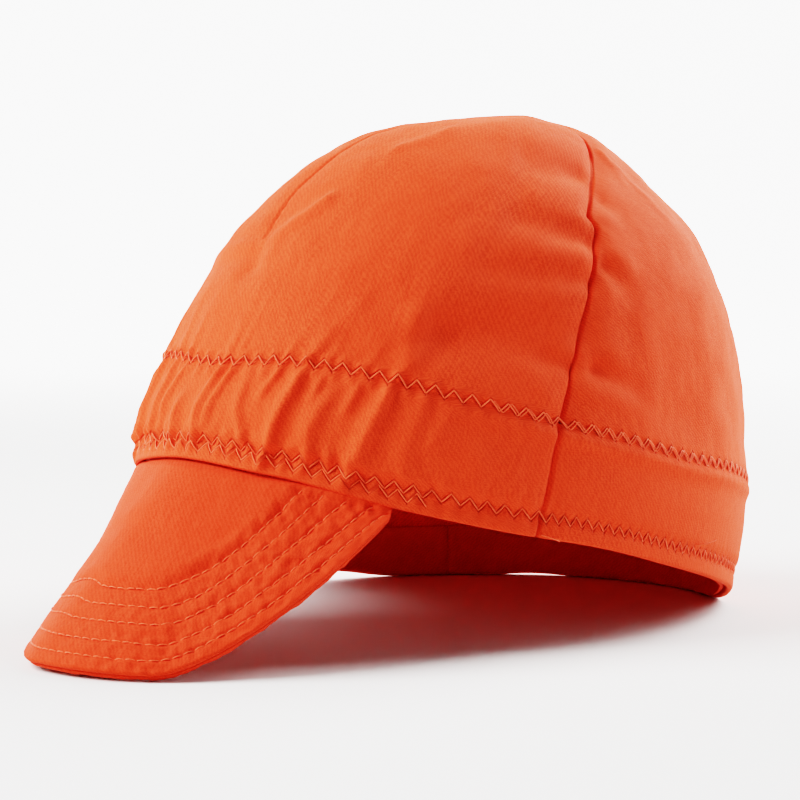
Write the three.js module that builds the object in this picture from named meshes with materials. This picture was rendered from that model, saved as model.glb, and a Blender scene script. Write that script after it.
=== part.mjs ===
// Welding cap: a soft sewn cotton cap lying as it is put down, resting on the edge of its bill and
// on the back of its rim. The front points to -Y, the wearer's left side to +X, and it lies on z = 0.
import * as THREE from 'three';
import { mergeVertices } from 'three/addons/utils/BufferGeometryUtils.js';

// Driving dimensions, in millimetres.
const RIM_HALF_LENGTH = 103; // hem edge, from the middle to the front or the back
const RIM_HALF_WIDTH = 86; // hem edge, from the middle to either side
const RIM_FRONT_LIFT = 56.5; // hem edge above the table at the front
const BAND_HEIGHT = 38; // hem edge to the upper zigzag, at the back
const BAND_PUFF = 3; // how far the gathered band bulges between its zigzags
const GATHER_DEPTH = 1.4; // ridge to valley of the band's gathers
const GATHER_PITCH = 11.5; // ridge to ridge
const GATHER_SLANT = 8; // how far a gather leans over the height of the band
const CROWN_HEIGHT = 163; // top of the crown above the table
const CROWN_SETBACK = 36; // top of the crown behind the middle of the rim
const CLOTH = 1.8; // wall of the crown and the band
const HEM_CLOTH = 2.2; // wall of the folded hem
const FACING_HEIGHT = 18; // hem allowance turned up inside the rim
const FACING_CLOTH = 1; // its wall
const SEAM_GAP = 0.3; // clearance between two pieces that are sewn together
const PANEL_GAP = 0.36; // the same between the two crown panels, whose seams run aslant
const FACING_GAP = 0.45; // the same between the crown and the facing, which has fewer sides
const SEAM_SINK = 1.1; // how deep a seam draws the cloth in
const SEAM_ROUND = 4.5; // how far from the seam that reaches
const BILL_REACH = 56.5; // front of the rim to the tip of the bill, seen from above
const BILL_HALF_WIDTH = 62; // half the bill, seen from above
const BILL_PLY = 1.5; // wall of each of the bill's two plies
const BILL_TIP_LIFT = 1; // the middle of the bill's front edge above the table
const BILL_TIP_WIDTH = 36; // half the stretch of that edge that is lifted
const BILL_SKEW = 8; // how far the tip lies towards the wearer's left
const BILL_BELLY = 1.5; // how far the bill sags between the hem and its edge

// Angles around the rim, in degrees: 0 at the front, 90 at the wearer's left, 180 at the back.
const FULL_TURN = 360;
const BILL_ROOT_ANGLE = 46; // where the bill ends on either side
const BILL_CUT_END = 0.97; // share of the bill's half turn after which its ends are cut off
const BILL_SIDE_CURVE = 1.1; // 1 is a straight side edge, more is a sagging one
const GATHERED_FROM = 50; // the band is gathered fully up to here on either side
const GATHERED_TO = 78; // and smooth from here on
const SMOOTH_PUFF = 0.35; // puff of the smooth stretch as a share of the gathered one

// The gathers come unevenly: each wave shifts them by some turns as they pass round the band.
const UNEVEN_GATHERS = [
  { shift: 1.1, rate: 0.31, start: 0.6 },
  { shift: 0.6, rate: 0.53, start: 0 },
];

// The bill's two sides, from above and from the side. A half ellipse has a squareness of 2, and
// more is squarer. Each side edge comes down to the table at a share of the bill's length.
const BILL_LEFT = { squareness: 2.15, down: 0.8 };
const BILL_RIGHT = { squareness: 1.45, down: 0.6 };

// The rim: hem edge above the table as a share of its lift at the front, and the band's height
// as a share of its height at the back. The far side has slumped onto the table.
const RIM = [
  { at: 0, lift: 1, band: 0.76 },
  { at: 22, lift: 0.94, band: 0.87 },
  { at: 44, lift: 0.79, band: 0.96 },
  { at: 64, lift: 0.65, band: 0.95 },
  { at: 83, lift: 0.53, band: 0.91 },
  { at: 100, lift: 0.39, band: 0.91 },
  { at: 118, lift: 0.25, band: 0.95 },
  { at: 138, lift: 0.11, band: 0.97 },
  { at: 156, lift: 0, band: 1 },
  { at: 180, lift: 0, band: 1 },
  { at: 222, lift: 0, band: 0.97 },
  { at: 242, lift: 0, band: 0.95 },
  { at: 260, lift: 0.07, band: 0.95 },
  { at: 277, lift: 0.28, band: 0.95 },
  { at: 296, lift: 0.58, band: 0.95 },
  { at: 316, lift: 0.79, band: 0.96 },
  { at: 338, lift: 0.94, band: 0.87 },
];

// Sections of the band, from the hem edge to the upper zigzag: height as a share of the band,
// bulge as a share of the puff, ripple as a share of the gathers' depth, groove at the side seams as
// a share of the seams' sink, and the wall as a share of the way from cloth to folded hem.
const BAND = [
  { up: 0, puff: 0.6, gather: 0.1, seam: 0.2, hem: 1 },
  { up: 0.17, puff: 0.5, gather: 0.3, seam: 0.3, hem: 1 },
  { up: 0.3, puff: 0.95, gather: 0.9, seam: 0.5, hem: 0 },
  { up: 0.52, puff: 1, gather: 1, seam: 0.5, hem: 0 },
  { up: 0.74, puff: 0.5, gather: 0.9, seam: 0.6, hem: 0 },
  { up: 0.9, puff: 0.1, gather: 0.6, seam: 0.8, hem: 0 },
  { up: 1, puff: 0, gather: 0.2, seam: 1, hem: 0 },
];

// Sections of the crown, from the upper zigzag to the top: height as a share of what is left up to
// the top, reach from the crown's axis as a share of the rim's half length or half width at the
// front, the side and the back, and the angle where the side seams run.
const CROWN = [
  { up: 0, front: 0.9, side: 1.01, back: 1.07, seam: 75 },
  { up: 0.22, front: 0.84, side: 0.955, back: 1.06, seam: 79 },
  { up: 0.44, front: 0.755, side: 0.88, back: 1, seam: 83.5 },
  { up: 0.63, front: 0.65, side: 0.76, back: 0.87, seam: 88 },
  { up: 0.79, front: 0.54, side: 0.59, back: 0.62, seam: 95 },
  { up: 0.9, front: 0.405, side: 0.425, back: 0.43, seam: 103 },
  { up: 0.97, front: 0.235, side: 0.24, back: 0.24, seam: 112 },
  { up: 1, front: 0, side: 0, back: 0, seam: 120 },
];
const SEAM_FOOT_ANGLE = 70; // side seam at the hem edge
const DART_FOOT = 2.1; // section of the crown where the front and back darts run out
const DART_FADE = 0.5; // sections over which they do

// Soft folds and dents of the crown: a line from one place to another, each an angle and a section
// of the crown, with its depth as a share of the deepest and its width in fold widths.
const FOLD_DEPTH = 2.6;
const FOLD_WIDTH = 9;
const FOLD_FADE = 0.6; // sections over which the folds fade out above the zigzag
const FOLDS = [
  { from: [-2, 1.7], to: [-4, 2.6], deep: 0.8, wide: 0.7 },
  { from: [4, 2], to: [12, 3.1], deep: -0.5, wide: 0.6 },
  { from: [-8, 2], to: [-40, 1.5], deep: 0.5, wide: 0.9 },
  { from: [84, 3.3], to: [58, 2.6], deep: 0.8, wide: 0.6 },
  { from: [88, 3.7], to: [62, 3.5], deep: 0.7, wide: 0.5 },
  { from: [82, 2.2], to: [56, 1.5], deep: 0.7, wide: 0.8 },
  { from: [78, 1], to: [50, 0.5], deep: 0.8, wide: 1 },
  { from: [50, 1.7], to: [38, 0.4], deep: -0.5, wide: 0.7 },
  { from: [110, 4.3], to: [142, 4], deep: 0.5, wide: 0.9 },
  { from: [96, 2.6], to: [106, 1.9], deep: 0.6, wide: 0.6 },
  { from: [84, 0.8], to: [96, 0.5], deep: 0.6, wide: 0.6 },
  { from: [276, 3.3], to: [302, 2.6], deep: 0.8, wide: 0.6 },
  { from: [282, 1], to: [310, 0.5], deep: 0.8, wide: 1 },
  { from: [150, 1.2], to: [205, 1], deep: 0.6, wide: 1.2 },
];

// Mesh density.
const FRONT_COLUMNS = 84;
const BACK_COLUMNS = 44;
const CROWN_ROWS = 10;
const FACING_COLUMNS = 60;
const BILL_COLUMNS = 36;
const BILL_ROWS = 6;

const COTTON = 0xee683a; // orange cotton twill
const COTTON_INSIDE = 0xd9552b; // its unlit inside
const CLOTH_ROUGHNESS = 0.92;

const SMALLEST_REACH = 0.05; // keeps distances round the very top from vanishing
const RADIANS = Math.PI / 180;
const TOP_SECTION = CROWN.length - 1;

// A column of a table, read between its rows along a smooth curve that never overshoots them.
function readRows(places, values, place) {
  let row = 0;
  while (row < places.length - 2 && place > places[row + 1]) row += 1;
  const slope = (index) => (values[index + 1] - values[index]) / (places[index + 1] - places[index]);
  const tangent = (index) => {
    if (index === 0) return slope(0);
    if (index === places.length - 1) return slope(index - 1);
    const before = slope(index - 1);
    const after = slope(index);
    return before * after > 0 ? (2 * before * after) / (before + after) : 0;
  };
  const span = places[row + 1] - places[row];
  const t = (place - places[row]) / span;
  const rise = values[row + 1] - values[row];
  const first = tangent(row) * span;
  const last = tangent(row + 1) * span;
  return values[row] + t * (first + t * (3 * rise - 2 * first - last + t * (first + last - 2 * rise)));
}

// The rim's table goes round, so it is read with its last row before it and its first row after it.
const RIM_ROUND = [
  { ...RIM[RIM.length - 1], at: RIM[RIM.length - 1].at - FULL_TURN },
  ...RIM,
  { ...RIM[0], at: FULL_TURN },
  { ...RIM[1], at: RIM[1].at + FULL_TURN },
];

function readRim(column, angle) {
  const turned = ((angle % FULL_TURN) + FULL_TURN) % FULL_TURN;
  return readRows(RIM_ROUND.map((row) => row.at), RIM_ROUND.map((row) => row[column]), turned);
}

// The crown's table goes on past the top as its mirror image, so the top comes out round.
const CROWN_OVER = [...CROWN, { ...CROWN[TOP_SECTION - 1] }];
for (const side of ['front', 'side', 'back']) {
  CROWN_OVER[TOP_SECTION + 1][side] *= -1;
}

function readCrown(column, section) {
  return readRows(CROWN_OVER.map((row, index) => index), CROWN_OVER.map((row) => row[column]), section);
}

function readBand(column, up) {
  return readRows(BAND.map((row) => row.up), BAND.map((row) => row[column]), up);
}

const smooth = (low, high, value) => THREE.MathUtils.smoothstep(value, low, high);

// Distance round from the front, 0 at the front and 180 at the back, the same on both sides.
function awayFromFront(angle) {
  const turned = ((angle % FULL_TURN) + FULL_TURN) % FULL_TURN;
  return Math.min(turned, FULL_TURN - turned);
}

// A place on the cap is an angle and a level: 0 at the hem edge, 1 at the upper zigzag, and on from
// there by sections of the crown's table up to the top.
const TOP_LEVEL = 1 + TOP_SECTION;

function reachAt(angle, section) {
  const ahead = Math.cos(angle * RADIANS);
  const front = readCrown('front', section);
  const side = readCrown('side', section);
  const back = readCrown('back', section);
  return side + ((front - back) / 2) * ahead + ((front + back) / 2 - side) * ahead * ahead;
}

// The cap's plain form, with no puff, gathers, seams or folds.
function plainPoint(angle, level) {
  const section = Math.max(level - 1, 0);
  const up = Math.min(level, 1);
  const ahead = Math.cos(angle * RADIANS);
  const aside = Math.sin(angle * RADIANS);
  const hemHeight = RIM_FRONT_LIFT * readRim('lift', angle);
  const bandTop = hemHeight + BAND_HEIGHT * readRim('band', angle);
  const reach = level < 1 ? 1 + (reachAt(angle, 0) - 1) * level : reachAt(angle, section);
  const inwards = 1 - reach / Math.max(reachAt(angle, 0), reach);
  return new THREE.Vector3(
    RIM_HALF_WIDTH * aside * reach,
    -RIM_HALF_LENGTH * ahead * reach + (level < 1 ? 0 : CROWN_SETBACK * inwards),
    level < 1
      ? hemHeight + (bandTop - hemHeight) * up
      : bandTop + (CROWN_HEIGHT - bandTop) * readCrown('up', section),
  );
}

// The way out of a form at a place, from two small steps along it.
function wayOut(point, angle, level) {
  const turn = 0.5;
  const rise = 0.02;
  const low = Math.min(Math.max(level - rise, 0), TOP_LEVEL - 3 * rise);
  const round = point(angle + turn, low + rise).sub(point(angle - turn, low + rise));
  const up = point(angle, low + 2 * rise).sub(point(angle, low));
  return round.cross(up).normalize();
}

function seamAngle(level) {
  if (level >= 1) return readCrown('seam', Math.min(level - 1, TOP_SECTION));
  return SEAM_FOOT_ANGLE + (CROWN[0].seam - SEAM_FOOT_ANGLE) * level;
}

function gatherShare(angle) {
  return 1 - smooth(GATHERED_FROM, GATHERED_TO, awayFromFront(angle));
}

// How far the band bulges from the plain form, and how far its gathers ripple on that.
function bandPuff(angle, level) {
  return BAND_PUFF * readBand('puff', level) * THREE.MathUtils.lerp(SMOOTH_PUFF, 1, gatherShare(angle));
}

function bandRipple(angle, level) {
  const along = (angle * RADIANS * (RIM_HALF_LENGTH + RIM_HALF_WIDTH)) / 2 - GATHER_SLANT * level;
  const turn = (2 * Math.PI * along) / GATHER_PITCH;
  const uneven = UNEVEN_GATHERS.reduce(
    (sum, wave) => sum + wave.shift * Math.sin(turn * wave.rate + wave.start),
    0,
  );
  const depth = GATHER_DEPTH * readBand('gather', level) * gatherShare(angle);
  return (depth / 2) * Math.sin(turn + uneven);
}

// Millimetres in a degree round the cap at a level.
function degreeLength(angle, level) {
  return RADIANS * RIM_HALF_WIDTH * Math.max(reachAt(angle, Math.max(level - 1, 0)), SMALLEST_REACH);
}

// How far the cloth lies in from the plain form at the side seams and at the front and back darts.
function seamSink(angle, level) {
  const groove = (degreesAway) => Math.exp(-((degreesAway * degreeLength(angle, level) / SEAM_ROUND) ** 2));
  const away = awayFromFront(angle);
  const dartEnd = smooth(DART_FOOT, DART_FOOT + DART_FADE, level - 1);
  const seam = groove(Math.abs(away - seamAngle(level)));
  const dart = groove(Math.min(away, FULL_TURN / 2 - away)) * dartEnd;
  const band = level < 1 ? readBand('seam', level) : 1;
  const nearTop = 1 - smooth(TOP_LEVEL - 1, TOP_LEVEL, level);
  return SEAM_SINK * Math.max(seam, dart) * band * nearTop;
}

// How far it lies in at the folds, by the distance from each fold's line.
function foldSink(angle, level) {
  const unit = degreeLength(angle, level);
  const turned = ((angle % FULL_TURN) + FULL_TURN) % FULL_TURN;
  const height = plainPoint(angle, level).z;
  let sink = 0;
  for (const fold of FOLDS) {
    const [first, last] = [fold.from, fold.to].map(([foldAngle, section]) => (
      new THREE.Vector3(foldAngle * unit, plainPoint(foldAngle, 1 + section).z, 0)
    ));
    const nearest = turned - FULL_TURN * Math.round((turned - fold.from[0]) / FULL_TURN);
    const here = new THREE.Vector3(nearest * unit, height, 0);
    const onLine = new THREE.Line3(first, last).closestPointToPoint(here, true, new THREE.Vector3());
    const away = onLine.distanceTo(here);
    sink += FOLD_DEPTH * fold.deep * Math.exp(-((away / (FOLD_WIDTH * fold.wide)) ** 2));
  }
  return sink;
}

// The cap's outer face.
function outerPoint(angle, level) {
  const out = wayOut(plainPoint, angle, level);
  const bulge = level < 1 ? bandPuff(angle, level) + bandRipple(angle, level) : 0;
  if (level < 1) out.setZ(0).normalize();
  const sink = seamSink(angle, level) + foldSink(angle, level) * smooth(1, 1 + FOLD_FADE, level);
  return plainPoint(angle, level).addScaledVector(out, bulge - sink);
}

// The cap's inner face: the outer face moved in by the wall, level at the hem edge.
function innerPoint(angle, level) {
  const out = wayOut(outerPoint, angle, level);
  if (level === 0) out.setZ(0).normalize();
  const hem = level < 1 ? readBand('hem', level) : 0;
  return outerPoint(angle, level).addScaledVector(out, -(CLOTH + (HEM_CLOTH - CLOTH) * hem));
}

// A closed wall between two grids of points. The front grid's columns by its rows turn outwards.
function wallBetween(front, back, { ring = false } = {}) {
  const columns = front.length;
  const rows = front[0].length;
  const last = ring ? columns : columns - 1;
  const points = [];
  const quad = (a, b, c, d) => points.push(a, b, c, a, c, d);
  for (let i = 0; i < last; i += 1) {
    const j = (i + 1) % columns;
    for (let k = 0; k < rows - 1; k += 1) {
      quad(front[i][k], front[j][k], front[j][k + 1], front[i][k + 1]);
      quad(back[i][k], back[i][k + 1], back[j][k + 1], back[j][k]);
    }
    quad(front[j][0], front[i][0], back[i][0], back[j][0]);
    quad(front[i][rows - 1], front[j][rows - 1], back[j][rows - 1], back[i][rows - 1]);
  }
  for (let k = 0; k < rows - 1 && !ring; k += 1) {
    quad(front[0][k + 1], back[0][k + 1], back[0][k], front[0][k]);
    quad(front[last][k + 1], front[last][k], back[last][k], back[last][k + 1]);
  }
  return dropEmptyTriangles(new THREE.BufferGeometry().setFromPoints(points));
}

// Corners that coincide are merged, and triangles that lost an edge that way are left out.
function dropEmptyTriangles(geometry) {
  const merged = mergeVertices(geometry, 1e-4);
  const index = merged.getIndex().array;
  const kept = [];
  for (let i = 0; i < index.length; i += 3) {
    const [a, b, c] = index.slice(i, i + 3);
    if (a !== b && b !== c && c !== a) kept.push(a, b, c);
  }
  merged.setIndex(kept);
  merged.computeVertexNormals();
  return merged;
}

function clothMesh(name, geometry, color) {
  const material = new THREE.MeshStandardMaterial({ color, roughness: CLOTH_ROUGHNESS, metalness: 0 });
  const mesh = new THREE.Mesh(geometry, material);
  mesh.name = name;
  return mesh;
}

// Levels of a crown panel's rows, from the hem edge to the top.
const PANEL_LEVELS = [
  ...BAND.map((row) => row.up),
  ...Array.from({ length: CROWN_ROWS }, (unused, row) => 1 + (TOP_SECTION * (row + 1)) / CROWN_ROWS),
];

// A crown panel, between the angles that a function gives for each level.
function crownPanel(name, columns, edgeAngles) {
  const grids = [outerPoint, innerPoint].map((point) => {
    const top = point(0, TOP_LEVEL);
    return Array.from({ length: columns + 1 }, (unused, column) => PANEL_LEVELS.map((level) => {
      if (level === TOP_LEVEL) return top.clone();
      const [first, last] = edgeAngles(level);
      return point(first + ((last - first) * column) / columns, level);
    }));
  });
  return clothMesh(name, wallBetween(grids[0], grids[1]), COTTON);
}

function makeHemFacing() {
  const clear = HEM_CLOTH + FACING_GAP + SEAM_SINK / 2;
  const faces = [clear, clear + FACING_CLOTH].map((depth) => (
    Array.from({ length: FACING_COLUMNS }, (unused, column) => {
      const angle = (FULL_TURN * column) / FACING_COLUMNS;
      return [0, 0.5, 1].map((share) => {
        const height = FACING_CLOTH + (FACING_HEIGHT - FACING_CLOTH) * share;
        const level = height / (BAND_HEIGHT * readRim('band', angle));
        const out = wayOut(plainPoint, angle, level).setZ(0).normalize();
        return plainPoint(angle, level).addScaledVector(out, bandPuff(angle, BAND[1].up) - depth);
      });
    })
  ));
  return clothMesh('hem_facing', wallBetween(faces[0], faces[1], { ring: true }), COTTON_INSIDE);
}

const BILL_THICKNESS = 2 * BILL_PLY + SEAM_GAP;

// The bill's outer edge, from -1 at the wearer's right end to 1 at the left end.
function billEdge(across) {
  const endForward = RIM_HALF_LENGTH * Math.cos(BILL_ROOT_ANGLE * RADIANS);
  const tipForward = RIM_HALF_LENGTH + BILL_REACH;
  const endLift = RIM_FRONT_LIFT * readRim('lift', BILL_ROOT_ANGLE);
  const turn = (across * Math.PI) / 2;
  const { squareness, down } = across > 0 ? BILL_LEFT : BILL_RIGHT;
  const aside = Math.sign(across) * Math.abs(Math.sin(turn)) ** (2 / squareness);
  const forward = Math.max(Math.cos(turn), 0) ** (2 / squareness);
  const side = endLift * Math.max(1 - forward / down, 0) ** BILL_SIDE_CURVE;
  const wide = BILL_HALF_WIDTH * aside;
  const tip = BILL_TIP_LIFT * Math.max(1 - (wide / BILL_TIP_WIDTH) ** 2, 0);
  return new THREE.Vector3(
    wide + BILL_SKEW * forward,
    -THREE.MathUtils.lerp(endForward, tipForward, forward),
    side + tip,
  );
}

// The bill's surface between a root and the outer edge: straight, less a belly.
function billBetween(root, across, along) {
  const line = billEdge(across).sub(root);
  const sag = BILL_BELLY * Math.sin(Math.PI * along) ** 2 * (1 - across * across);
  const point = root.clone().addScaledVector(line, along);
  point.z -= sag * (line.length() / BILL_REACH);
  return point;
}

// The middle of the hem edge, which the bill hangs from.
function hemMiddle(across) {
  const angle = across * BILL_ROOT_ANGLE;
  const hem = outerPoint(angle, 0).add(innerPoint(angle, 0)).multiplyScalar(0.5);
  hem.z -= SEAM_GAP;
  return hem;
}

// The way out of the bill, from two small steps along the form that hangs from the hem's middle.
function billOut(across, along) {
  const step = 0.02;
  const hanging = (aside, down) => billBetween(hemMiddle(aside), aside, down);
  const from = THREE.MathUtils.clamp(across, -1 + step, 1 - step);
  const start = THREE.MathUtils.clamp(along, step, 1 - step);
  const aside = hanging(from + step, start).sub(hanging(from - step, start));
  const outwards = hanging(from, start + step).sub(hanging(from, start - step));
  return outwards.cross(aside).normalize();
}

// A point of the bill, a distance out from its underside. Its top starts at the hem's middle.
function billPoint(across, along, offset) {
  const root = hemMiddle(across).addScaledVector(billOut(across, 0), -BILL_THICKNESS);
  return billBetween(root, across, along).addScaledVector(billOut(across, along), offset);
}

function billPly(name, low, high) {
  const faces = [low, high].map((offset) => (
    Array.from({ length: BILL_COLUMNS + 1 }, (unused, column) => (
      Array.from({ length: BILL_ROWS + 1 }, (unusedToo, row) => {
        const share = (2 * column) / BILL_COLUMNS - 1;
        const across = BILL_CUT_END * share * (1 + (1 - share * share) / 4);
        return billPoint(across, row / BILL_ROWS, offset);
      })
    ))
  ));
  return clothMesh(name, wallBetween(faces[0], faces[1]), COTTON);
}

const cap = new THREE.Group();
const frontEdges = (level) => [-seamAngle(level), seamAngle(level)];
const backEdges = (level) => [seamAngle(level), FULL_TURN - seamAngle(level)];
cap.add(crownPanel('crown_front', FRONT_COLUMNS, frontEdges));
const back = crownPanel('crown_back', BACK_COLUMNS, backEdges);
back.position.y = PANEL_GAP;
cap.add(back);
cap.add(makeHemFacing());
cap.add(billPly('bill_under', 0, BILL_PLY));
cap.add(billPly('bill_top', BILL_PLY + SEAM_GAP, BILL_THICKNESS));

// The origin lies under the middle of the cap's box.
const box = new THREE.Box3().setFromObject(cap, true);
const middle = box.getCenter(new THREE.Vector3());
cap.position.set(-middle.x, -middle.y, -box.min.z);

export default cap;
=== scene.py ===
# %% [markdown]
# # A welding cap, sewn from orange cotton twill
# A welding cap is a soft cap that is worn under a welding helmet. Two crown panels meet in a seam
# over each ear, and a dart at the front and the back rounds them over the head. A row of zigzag
# stitches draws the crown in to a gathered band, a second one holds the turned-up hem, and a short
# bill of two plies, stitched in rows, hangs from the front of it.
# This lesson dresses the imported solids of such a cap. Each solid is replaced by a finer piece of
# cloth that follows the same named sizes, and sewing thread is added over it.

import bpy
import numpy as np
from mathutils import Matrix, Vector


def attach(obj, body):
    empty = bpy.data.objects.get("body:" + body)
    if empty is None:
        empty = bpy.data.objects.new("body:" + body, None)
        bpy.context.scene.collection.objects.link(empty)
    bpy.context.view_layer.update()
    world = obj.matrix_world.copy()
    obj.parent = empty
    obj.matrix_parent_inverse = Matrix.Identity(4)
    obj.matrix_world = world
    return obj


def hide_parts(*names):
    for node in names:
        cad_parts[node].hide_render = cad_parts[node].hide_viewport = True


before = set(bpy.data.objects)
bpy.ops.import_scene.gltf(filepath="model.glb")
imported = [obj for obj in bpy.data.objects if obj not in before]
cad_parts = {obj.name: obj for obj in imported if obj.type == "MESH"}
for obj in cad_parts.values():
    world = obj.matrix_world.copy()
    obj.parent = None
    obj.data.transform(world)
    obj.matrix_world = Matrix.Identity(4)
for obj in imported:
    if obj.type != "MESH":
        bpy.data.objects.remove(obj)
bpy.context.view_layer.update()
print("solids:", sorted(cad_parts))

# %% [markdown]
# ## Camera
# The photograph is taken from the wearer's left and a little to the front, from just above the
# height of the brow, with a long lens. A long lens keeps the two sides of the cap nearly parallel.

# %% Camera
MM = 0.001
PART_SHIFT = np.array([0.0, 25.617, 0.0])  # mm, from the middle of the rim to the middle of the box
CAMERA_AZIMUTH = np.radians(49.0)  # from the front towards the wearer's left
CAMERA_DISTANCE = 780.0  # mm, as the next two
CAMERA_ASIDE = 13.5
CAMERA_HEIGHT = 118.0
CAMERA_DIP = np.radians(3.55)
SENSOR_WIDTH = 36.0
LENS = 108.0


def in_scene(name, data):
    """Makes an object of a mesh, a lamp or a camera, and puts it into the scene."""
    thing = bpy.data.objects.new(name, data)
    bpy.context.scene.collection.objects.link(thing)
    return thing


sine, cosine = np.sin(CAMERA_AZIMUTH), np.cos(CAMERA_AZIMUTH)
camera_place = (
    CAMERA_DISTANCE * np.array([sine, -cosine, 0.0])
    - CAMERA_ASIDE * np.array([cosine, sine, 0.0])
    + np.array([0.0, 0.0, CAMERA_HEIGHT])
    + PART_SHIFT
)
camera_looks = Vector(
    (-sine * np.cos(CAMERA_DIP), cosine * np.cos(CAMERA_DIP), -np.sin(CAMERA_DIP))
)
lens = bpy.data.cameras.new("camera")
lens.sensor_width = SENSOR_WIDTH
lens.lens = LENS
camera = in_scene("camera", lens)
camera.location = camera_place * MM
camera.rotation_mode = "QUATERNION"
camera.rotation_quaternion = camera_looks.to_track_quat("-Z", "Y")
bpy.context.scene.camera = camera
print("camera at", tuple(round(value, 3) for value in camera.location))

# %% [markdown]
# ## The cap's sizes
# These are the sizes that the solids were made from, in millimetres, so that the cloth lies where
# the solids are. Angles go round the rim: 0 at the front, 90 over the wearer's left ear, 180 at the
# back. A level is 0 at the hem edge, 1 at the upper zigzag, and then goes up by one for each section
# of the crown, to 8 at the top.

# %% Sizes
RIM_HALF_LENGTH = 103.0
RIM_HALF_WIDTH = 86.0
RIM_FRONT_LIFT = 56.5
BAND_HEIGHT = 38.0
BAND_PUFF = 3.0
GATHER_DEPTH = 1.4
GATHER_PITCH = 11.5
GATHER_SLANT = 8.0
CROWN_HEIGHT = 163.0
CROWN_SETBACK = 36.0
CLOTH = 1.8
HEM_CLOTH = 2.2
FACING_HEIGHT = 18.0
FACING_CLOTH = 1.0
SEAM_GAP = 0.3
SEWN_GAP = 0.04  # the solids lie 0.36 apart here, and in the dressed cap the seam is drawn together
FACING_GAP = 0.45
SEAM_SINK = 1.1
SEAM_ROUND = 4.5
BILL_REACH = 56.5
BILL_HALF_WIDTH = 62.0
BILL_PLY = 1.5
BILL_TIP_LIFT = 1.0
BILL_TIP_WIDTH = 36.0
BILL_SKEW = 8.0
BILL_BELLY = 1.5
FULL_TURN = 360.0
BILL_ROOT_ANGLE = 46.0
BILL_CUT_END = 0.97
BILL_SIDE_CURVE = 1.1
GATHERED_FROM = 50.0
GATHERED_TO = 78.0
SMOOTH_PUFF = 0.35
UNEVEN_GATHERS = [(1.1, 0.31, 0.6), (0.6, 0.53, 0.0)]  # shift, rate, start
BILL_LEFT = {"squareness": 2.15, "down": 0.8}
BILL_RIGHT = {"squareness": 1.45, "down": 0.6}

RIM = {
    "at": [0, 22, 44, 64, 83, 100, 118, 138, 156, 180, 222, 242, 260, 277, 296, 316, 338],
    "lift": [1, 0.94, 0.79, 0.65, 0.53, 0.39, 0.25, 0.11, 0, 0, 0, 0, 0.07, 0.28, 0.58, 0.79, 0.94],
    "band": [0.76, 0.87, 0.96, 0.95, 0.91, 0.91, 0.95, 0.97, 1, 1, 0.97, 0.95, 0.95, 0.95, 0.95,
             0.96, 0.87],
}
BAND = {
    "up": [0, 0.17, 0.3, 0.52, 0.74, 0.9, 1],
    "puff": [0.6, 0.5, 0.95, 1, 0.5, 0.1, 0],
    "gather": [0.1, 0.3, 0.9, 1, 0.9, 0.6, 0.2],
    "seam": [0.2, 0.3, 0.5, 0.5, 0.6, 0.8, 1],
    "hem": [1, 1, 0, 0, 0, 0, 0],
}
CROWN = {
    "up": [0, 0.22, 0.44, 0.63, 0.79, 0.9, 0.97, 1],
    "front": [0.9, 0.84, 0.755, 0.65, 0.54, 0.405, 0.235, 0],
    "side": [1.01, 0.955, 0.88, 0.76, 0.59, 0.425, 0.24, 0],
    "back": [1.07, 1.06, 1, 0.87, 0.62, 0.43, 0.24, 0],
    "seam": [75, 79, 83.5, 88, 95, 103, 112, 120],
}
SEAM_FOOT_ANGLE = 70.0
DART_FOOT = 2.1
DART_FADE = 0.5
DART_SINK = 0.35  # of the seams' sink: a dart is stitched flatter than a seam
SEAM_SWAY = (  # levels, and the degrees that the side seams wander there
    [0, 3.9, 4.02, 4.2, 4.6, 5.3, 6, 6.6, 7.2, 8],
    [0, 0, -0.4, -3.1, -2.4, -0.6, 2, 7, 12, 14],
)
FRONT_DART = (  # levels, and the degrees that the front dart lies aside there
    [0, 3, 3.5, 4, 5, 5.8, 8],
    [-5, -5, -7.5, -9.5, -11, -15, -15],
)
TOP_SECTION = len(CROWN["up"]) - 1
TOP_LEVEL = 1 + TOP_SECTION
SMALLEST_REACH = 0.05
print("rim", 2 * RIM_HALF_WIDTH, "x", 2 * RIM_HALF_LENGTH, "mm, crown", CROWN_HEIGHT, "mm high")

# %% [markdown]
# ## Soft folds
# The cap keeps a few soft folds and dents from being worn and put down: most are pulled towards the
# side seam, which is shorter than the cloth beside it. A row gives a fold's two ends as an angle and
# a section of the crown, its depth as a share of the deepest, and its width in fold widths. It is
# deepest at the first end, and grows wide and shallow towards the second.

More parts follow.
